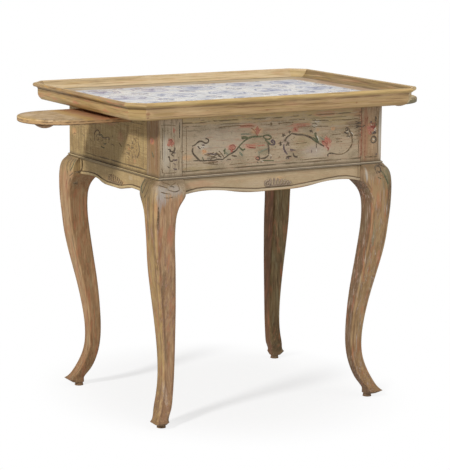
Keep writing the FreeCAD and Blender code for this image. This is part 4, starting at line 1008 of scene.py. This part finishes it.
END_BLOSSOMS = {
    "orange": ((112, 608, 4.5, 4), (84, 634, 5, 5), (-70, 662, 4, 4)),
    "umber": (
        (101, 650, 4.5, 5), (104, 616, 3.6, 4), (90, 628, 3, 4), (-55, 636, 4.6, 5), (-76, 636, 4.6, 5),
        (-34, 642, 4.4, 5), (-14, 644, 4.4, 5), (0, 652, 4.2, 5), (98, 640, 4.4, 5), (120, 634, 4, 4),
        (84, 622, 4, 4), (110, 628, 3.6, 4)),
}
END_POST = {
    "green": ((4, 194, 640, 5, -6, 4, -6),),
    "umber": (
        (2, 222, 700, 0.5, -50, -0.5, -50), (1.6, 182, 700, 0.5, -50, -0.5, -50),
        (2.8, -208, 632, 5, 6, 6, -3), (2, -218, 700, -0.5, -50, 0.5, -50),
        (1.6, -182, 700, -0.5, -50, 0.5, -50)),
}
END_POST_BLOSSOMS = {
    "pale": ((198, 634, 6, 5),),
    "rose": ((194, 665, 9, 7),),
    "orange": ((-203, 640, 5, 4),),
}
for face in ("left", "right"):
    brushwork(f"{face}_ornament", face, END_STROKES, END_BLOSSOMS)
    brushwork(f"{face}_posts", face, END_POST, END_POST_BLOSSOMS)

# Knees: a leaf that drops down each end face, and curls or plain lines on the long sides.
KNEE_CURLS = {
    "ink": (
        (4.6, 280, 557, -4, 8, 3, 8, 9, 2, 5, -6, -2, -8, -6, -2, -3, 5), (4.8, 288, 577, 10, 0, 8, -7),
        (2.6, 281, 581, 7, -2, 8, 2)),
    "green": ((5, 293, 562, 6, -6, 5, -8), (5, 300, 550, 6, -7, 4, -13), (4, 282, 548, 8, -4)),
    "umber": ((3.4, 316.5, 524, 0.5, -19, 0, -17, -1, -18),),
    "sienna": ((3.4, 292, 552, 6, -6),),
}
KNEE_LINES = {
    "ink": ((3, 283, 566, -6, 1, -5, -3), (2.6, 290, 560, -10, -4, -10, -3, -8, 3)),
    "umber": (
        (3.2, 298, 577, -11, -5, -11, -4, -10, 5), (2.6, 300, 582, -14, -3, -16, 1),
        (2.6, 312, 571, -12, -4, -12, -4), (2.4, 308, 556, -10, -4, -14, -2),
        (2.4, 300, 543, -10, -3, -12, 3), (2.4, 262, 571, -3, -9, 2, -7),
        (3.4, 315.5, 524, 1, -19, 0.5, -17, -1, -18)),
}
KNEE_LEAF = {
    "ink": ((2.8, 190, 574, 4, -10, -3, -11, -5, -8),),
    "green": ((4, 180, 576, -4, -10, 3, -11, 8, -9),),
    "umber": (
        (3.4, 172, 583, -9, -9, -2, -12, 5, -12, 10, -10, 14, -7),
        (3.4, 196, 582, 10, -9, 4, -13, -4, -13, -10, -11), (2.6, 184, 530, 4, -12, 2, -12)),
    "sienna": ((2.6, 200, 528, 6, -12, 2, -16),),
}
for end, long in (("left", -1), ("right", 1)):
    for row, near in (("front", 1), ("back", -1)):
        leg = f"{row}_{end}_leg"
        curls = KNEE_LINES if end == "left" else KNEE_CURLS
        brushwork(f"{leg}_curls", row, curls, {}, long * near, leg)
        brushwork(f"{leg}_leaf", end, KNEE_LEAF, {}, -long * near, leg)


# The floor: white, it takes the table's soft shadow only near the table, and the light
# that it throws back lights the underside.
f = Finish("white_floor")
seen = f.node("ShaderNodeLightPath")
along, across = f.x / 0.47, (f.y - 0.01) / 0.54
near = f.rise(along * along + across * across, 1.0, 0.1)
glow = f.node("ShaderNodeEmission", {}, {"Color": (1, 1, 1, 1), "Strength": 1})
dust = f.mottle((0.5, 0.5, 0.5), 0, 2, seed=501)
white_paint = f.node("ShaderNodeBsdfDiffuse", {}, {
    "Color": f.over((0.8, 0.8, 0.8, 1), f.rise(dust, 0.4, 0.6) * 0.2, (0.78, 0.78, 0.77, 1))})
share = seen.also("Is Camera Ray") * (1 - 0.34 * near)
floor_mesh.materials.append(f.shown(f.node("ShaderNodeMixShader", {}, {0: share, 1: white_paint, 2: glow})))
